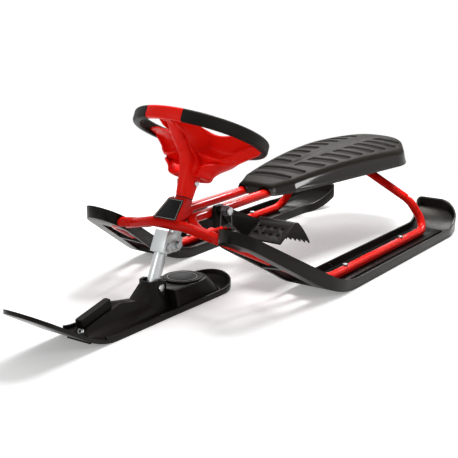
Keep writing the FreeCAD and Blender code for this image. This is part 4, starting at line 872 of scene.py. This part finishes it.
def seat():
    """Seat shell as one skin, with its tread, lip and tube notches."""
    build = bmesh.new()
    grid_faces(build, [[point * MM for point in row] for row in seat_rows()], closed=True)
    closed_up(build, MERGE)
    mesh = mesh_from("seat", build)
    seat_masks(mesh)
    shade(mesh, SEAT_CREASE)
    place_piece("seat_cover", mesh, "seat_shell", SLOT_OF["seat_shell"])


# Printed lines on the bare plates

PRINT_RAISE = 0.00015
PLATE_FLAT_ANGLE = 1.0
PLATE_FACES_UP = 0.2
PRINTED_LINES = {"head_label_plate": (0.0022, 0.0007), "reel_badge": (0.0030, 0.0012)}


def inset_loop(points, normal, distance):
    """A convex outline moved inwards in its own plane."""
    done = []
    for index, here in enumerate(points):
        back = (here - points[index - 1]).normalized()
        ahead = (points[(index + 1) % len(points)] - here).normalized()
        side_back = normal.cross(back)
        side_ahead = normal.cross(ahead)
        done.append(here + (side_back + side_ahead) * (distance / (1 + side_back.dot(side_ahead))))
    return done


def printed_line(node_name, inset, width):
    """A thin pale line on a plate's upper face, a little inside its edge."""
    plate = merged_copy(node_name, PLATE_FLAT_ANGLE)
    upper = [face for face in plate.faces if face.normal.z > PLATE_FACES_UP]
    face = max(upper, key=lambda face: face.calc_area())
    normal = face.normal.copy()
    outline = [vertex.co.copy() for vertex in face.verts]
    plate.free()
    outer = inset_loop(outline, normal, inset)
    inner = inset_loop(outline, normal, inset + width)
    rise = normal * PRINT_RAISE
    rows = [outer, [point + rise for point in outer], [point + rise for point in inner], inner, outer]
    build = bmesh.new()
    grid_faces(build, rows, closed=True)
    closed_up(build, FINE_MERGE)
    mesh = mesh_from(node_name + "_line", build)
    place_piece(node_name + "_line", mesh, node_name, "pale_print", stands_in=False)


# Raised dots on the grips

DOT_STAND_OFF = 7.9
GRIP_DOTS = {"Columns": 44, "Rows": 5, "Start": math.radians(24.0), "Sweep": math.radians(136.0),
             "Band": 0.0125, "Ring Radius": (RING_RADIUS + DOT_STAND_OFF) * MM, "Dot Radius": 0.0007}
GRIP_SIDES = {"left_grip": 1.0, "right_grip": -1.0}


def grip_dot_tree():
    """Rows of small raised dots round one side of the ring, on its outer face."""
    tree = bpy.data.node_groups.new("grip_dots", "GeometryNodeTree")
    for label in [*GRIP_DOTS, "Side"]:
        kind = "NodeSocketInt" if label in ("Columns", "Rows") else "NodeSocketFloat"
        tree.interface.new_socket(label, in_out="INPUT", socket_type=kind)
    tree.interface.new_socket("Geometry", in_out="OUTPUT", socket_type="NodeSocketGeometry")
    sizes = tree.nodes.new("NodeGroupInput").outputs
    end = tree.nodes.new("NodeGroupOutput")
    grid = node(tree, "GeometryNodeMeshGrid", {"Size X": 1.0, "Size Y": 1.0})
    tree.links.new(sizes["Columns"], grid.inputs["Vertices X"])
    tree.links.new(sizes["Rows"], grid.inputs["Vertices Y"])
    place = node(tree, "ShaderNodeSeparateXYZ")
    tree.links.new(node(tree, "GeometryNodeInputPosition").outputs["Position"], place.inputs["Vector"])
    along = figure(tree, "MULTIPLY", figure(tree, "ADD", place.outputs["X"], 0.5), sizes["Sweep"])
    turn = figure(tree, "ADD", sizes["Start"], along)
    ahead = figure(tree, "MULTIPLY", sizes["Ring Radius"], figure(tree, "COSINE", turn))
    sideways = figure(tree, "MULTIPLY", sizes["Ring Radius"], figure(tree, "SINE", turn))
    round_ring = node(tree, "ShaderNodeCombineXYZ")
    tree.links.new(ahead, round_ring.inputs["X"])
    tree.links.new(figure(tree, "MULTIPLY", sideways, sizes["Side"]), round_ring.inputs["Y"])
    tree.links.new(figure(tree, "MULTIPLY", place.outputs["Y"], sizes["Band"]), round_ring.inputs["Z"])
    bent = node(tree, "GeometryNodeSetPosition")
    tree.links.new(grid.outputs["Mesh"], bent.inputs["Geometry"])
    tree.links.new(round_ring.outputs["Vector"], bent.inputs["Position"])
    dot = node(tree, "GeometryNodeMeshIcoSphere", {"Subdivisions": 1})
    tree.links.new(sizes["Dot Radius"], dot.inputs["Radius"])
    spread = node(tree, "GeometryNodeInstanceOnPoints")
    tree.links.new(bent.outputs["Geometry"], spread.inputs["Points"])
    tree.links.new(dot.outputs["Mesh"], spread.inputs["Instance"])
    tilted = node(tree, "GeometryNodeTransform",
                  {"Rotation": (0.0, -WHEEL_TILT, 0.0), "Translation": WHEEL_CENTRE})
    real = node(tree, "GeometryNodeRealizeInstances")
    paint = node(tree, "GeometryNodeSetMaterial", {"Material": MATERIAL["grip_rubber"]})
    for first, second in ((spread, tilted), (tilted, real), (real, paint), (paint, end)):
        tree.links.new(first.outputs[0], second.inputs[0])
    return tree


def grip_dots():
    """A plain mesh of dots for each grip."""
    tree = grip_dot_tree()
    sockets = {item.name: item.identifier for item in tree.interface.items_tree if item.in_out == "INPUT"}
    for node_name, side in GRIP_SIDES.items():
        inputs = {sockets[label]: value for label, value in {**GRIP_DOTS, "Side": side}.items()}
        mesh = worked(bpy.data.meshes.new("grip_dots"), "NODES", {"node_group": tree}, inputs)
        place_piece(node_name + "_dots", mesh, node_name, SLOT_OF[node_name], stands_in=False)


# The sled

SMALL_ROUND = 0.0004
EDGE_ROUND = {"left_runner": 0.0012, "right_runner": 0.0012, "front_ski": 0.0012,
              "left_brake_pedal": 0.0006, "right_brake_pedal": 0.0006,
              "tow_handle": 0.0, "left_brake_spring": 0.0, "right_brake_spring": 0.0}
OWN_SHAPE = {"wheel_body": wheel, "seat_shell": seat}
for name in NODES:
    if name in OWN_SHAPE:
        OWN_SHAPE[name]()
    else:
        dressed(name, EDGE_ROUND.get(name, SMALL_ROUND))
for name, (inset, width) in PRINTED_LINES.items():
    printed_line(name, inset, width)
grip_dots()


# Stage: floor, light and camera

FLOOR_REACH = 6.0
FLOOR_COLOUR = (0.90, 0.90, 0.90, 1)
FLOOR_GLOW_COLOUR = (1.0, 0.995, 0.985, 1)
FLOOR_GLOW = 0.26
FLOOR_ROUGHNESS = 0.9
FLOOR_FADE = {"From Min": 0.55, "From Max": 1.25}
WORLD_LEVEL = {"To Min": 0.34, "To Max": 1.0}

# Soft boxes as (name, place, target, (width, height), power)
LAMPS = [
    ("overhead", (-0.75, -0.05, 2.2), (0.0, 0.0, 0.1), (1.0, 1.0), 50.0),
    ("side_window", (0.4, 2.2, 1.5), (0.0, 0.0, 0.15), (0.6, 0.9), 9.0),
    ("front_fill", (2.6, -0.5, 1.2), (0.1, 0.0, 0.15), (0.8, 0.8), 12.0),
    ("rear_sky", (-1.94, -0.83, 1.42), (0.0, 0.0, 0.1), (0.8, 0.8), 22.0),
    ("seat_strip", (-1.30, 1.72, 0.62), (-0.2, 0.09, 0.18), (0.46, 0.36), 13.0),
    ("tube_strip", (-1.74, 0.69, 1.35), (0.0, 0.0, 0.2), (0.5, 0.20), 60.0),
]
PAINTED = [name + "_dressed" for name in NODES if SLOT_OF[name] == "red_paint"]
LIGHTS_ONLY = {"seat_strip": ["seat_cover"], "tube_strip": PAINTED}

# Camera of the photograph: where it looks, from which side and how far away
LOOK_AT = Vector((0.038, 0.0, 0.1042))
LOOK_AZIMUTH = math.radians(34.82)
LOOK_ELEVATION = math.radians(15.02)
LOOK_DISTANCE = 2.1083
LENS = 79.2
SENSOR = 36.0


def seen_directly(tree):
    """One on rays of the camera, of reflections and of glass, zero on rays that only light things."""
    path = node(tree, "ShaderNodeLightPath").outputs
    sharp = figure(tree, "MAXIMUM", path["Is Glossy Ray"], path["Is Transmission Ray"])
    return figure(tree, "MAXIMUM", path["Is Camera Ray"], sharp)


def floor_paper():
    """White paper that glows a little where it is seen and fades out away from the sled."""
    made = bpy.data.materials.new("floor_paper")
    made.use_nodes = True
    tree = made.node_tree
    shader = tree.nodes["Principled BSDF"]
    shader.inputs["Base Color"].default_value = FLOOR_COLOUR
    shader.inputs["Roughness"].default_value = FLOOR_ROUGHNESS
    shader.inputs["Specular IOR Level"].default_value = 0.0
    shader.inputs["Emission Color"].default_value = FLOOR_GLOW_COLOUR
    glow = figure(tree, "MULTIPLY", seen_directly(tree), FLOOR_GLOW)
    tree.links.new(glow, shader.inputs["Emission Strength"])
    away = node(tree, "ShaderNodeVectorMath", operation="LENGTH")
    tree.links.new(node(tree, "ShaderNodeTexCoord").outputs["Object"], away.inputs[0])
    fade = node(tree, "ShaderNodeMapRange", FLOOR_FADE, interpolation_type="SMOOTHSTEP")
    tree.links.new(away.outputs["Value"], fade.inputs["Value"])
    clear = node(tree, "ShaderNodeBsdfTransparent")
    mix = node(tree, "ShaderNodeMixShader")
    tree.links.new(fade.outputs["Result"], mix.inputs["Fac"])
    tree.links.new(shader.outputs["BSDF"], mix.inputs[1])
    tree.links.new(clear.outputs["BSDF"], mix.inputs[2])
    tree.links.new(mix.outputs["Shader"], tree.nodes["Material Output"].inputs["Surface"])
    return made


def pale_floor():
    """Floor that keeps the shadow near the sled and fades into the white surroundings."""
    signs = ((-1, -1), (1, -1), (1, 1), (-1, 1))
    corners = [(side * FLOOR_REACH, end * FLOOR_REACH, 0) for side, end in signs]
    mesh = bpy.data.meshes.new("floor")
    mesh.from_pydata(corners, [], [(0, 1, 2, 3)])
    mesh.materials.append(floor_paper())
    floor = bpy.data.objects.new("floor", mesh)
    SCENE.collection.objects.link(floor)


def studio_world():
    """Even pale surroundings, pure white where the camera or a reflection sees them."""
    world = bpy.data.worlds.new("studio")
    SCENE.world = world
    world.use_nodes = True
    tree = world.node_tree
    background = tree.nodes["Background"]
    background.inputs["Color"].default_value = (1, 1, 1, 1)
    level = node(tree, "ShaderNodeMapRange", WORLD_LEVEL)
    tree.links.new(seen_directly(tree), level.inputs["Value"])
    tree.links.new(level.outputs["Result"], background.inputs["Strength"])


def soft_box(name, place, target, size, power):
    """A rectangular lamp. One that lights only some pieces is a strip for their highlights."""
    lamp = bpy.data.lights.new(name, "AREA")
    lamp.shape = "RECTANGLE"
    lamp.size, lamp.size_y = size
    lamp.energy = power
    holder = bpy.data.objects.new(name, lamp)
    SCENE.collection.objects.link(holder)
    holder.location = place
    holder.rotation_euler = (Vector(target) - Vector(place)).to_track_quat("-Z", "Y").to_euler()
    if name in LIGHTS_ONLY:
        lit = bpy.data.collections.new(name + "_lights")
        for piece in LIGHTS_ONLY[name]:
            lit.objects.link(bpy.data.objects[piece])
        holder.light_linking.receiver_collection = lit
        holder.visible_diffuse = False


def photo_camera():
    """The photograph's camera."""
    level = math.cos(LOOK_ELEVATION)
    back = Vector((level * math.cos(LOOK_AZIMUTH), level * math.sin(LOOK_AZIMUTH), math.sin(LOOK_ELEVATION)))
    camera = bpy.data.objects.new("photo_camera", bpy.data.cameras.new("photo_camera"))
    SCENE.collection.objects.link(camera)
    camera.location = LOOK_AT + back * LOOK_DISTANCE
    camera.rotation_euler = (-back).to_track_quat("-Z", "Y").to_euler()
    camera.data.lens = LENS
    camera.data.sensor_width = SENSOR
    SCENE.camera = camera


SCENE.view_settings.view_transform = "Standard"
pale_floor()
studio_world()
for lamp in LAMPS:
    soft_box(*lamp)
photo_camera()
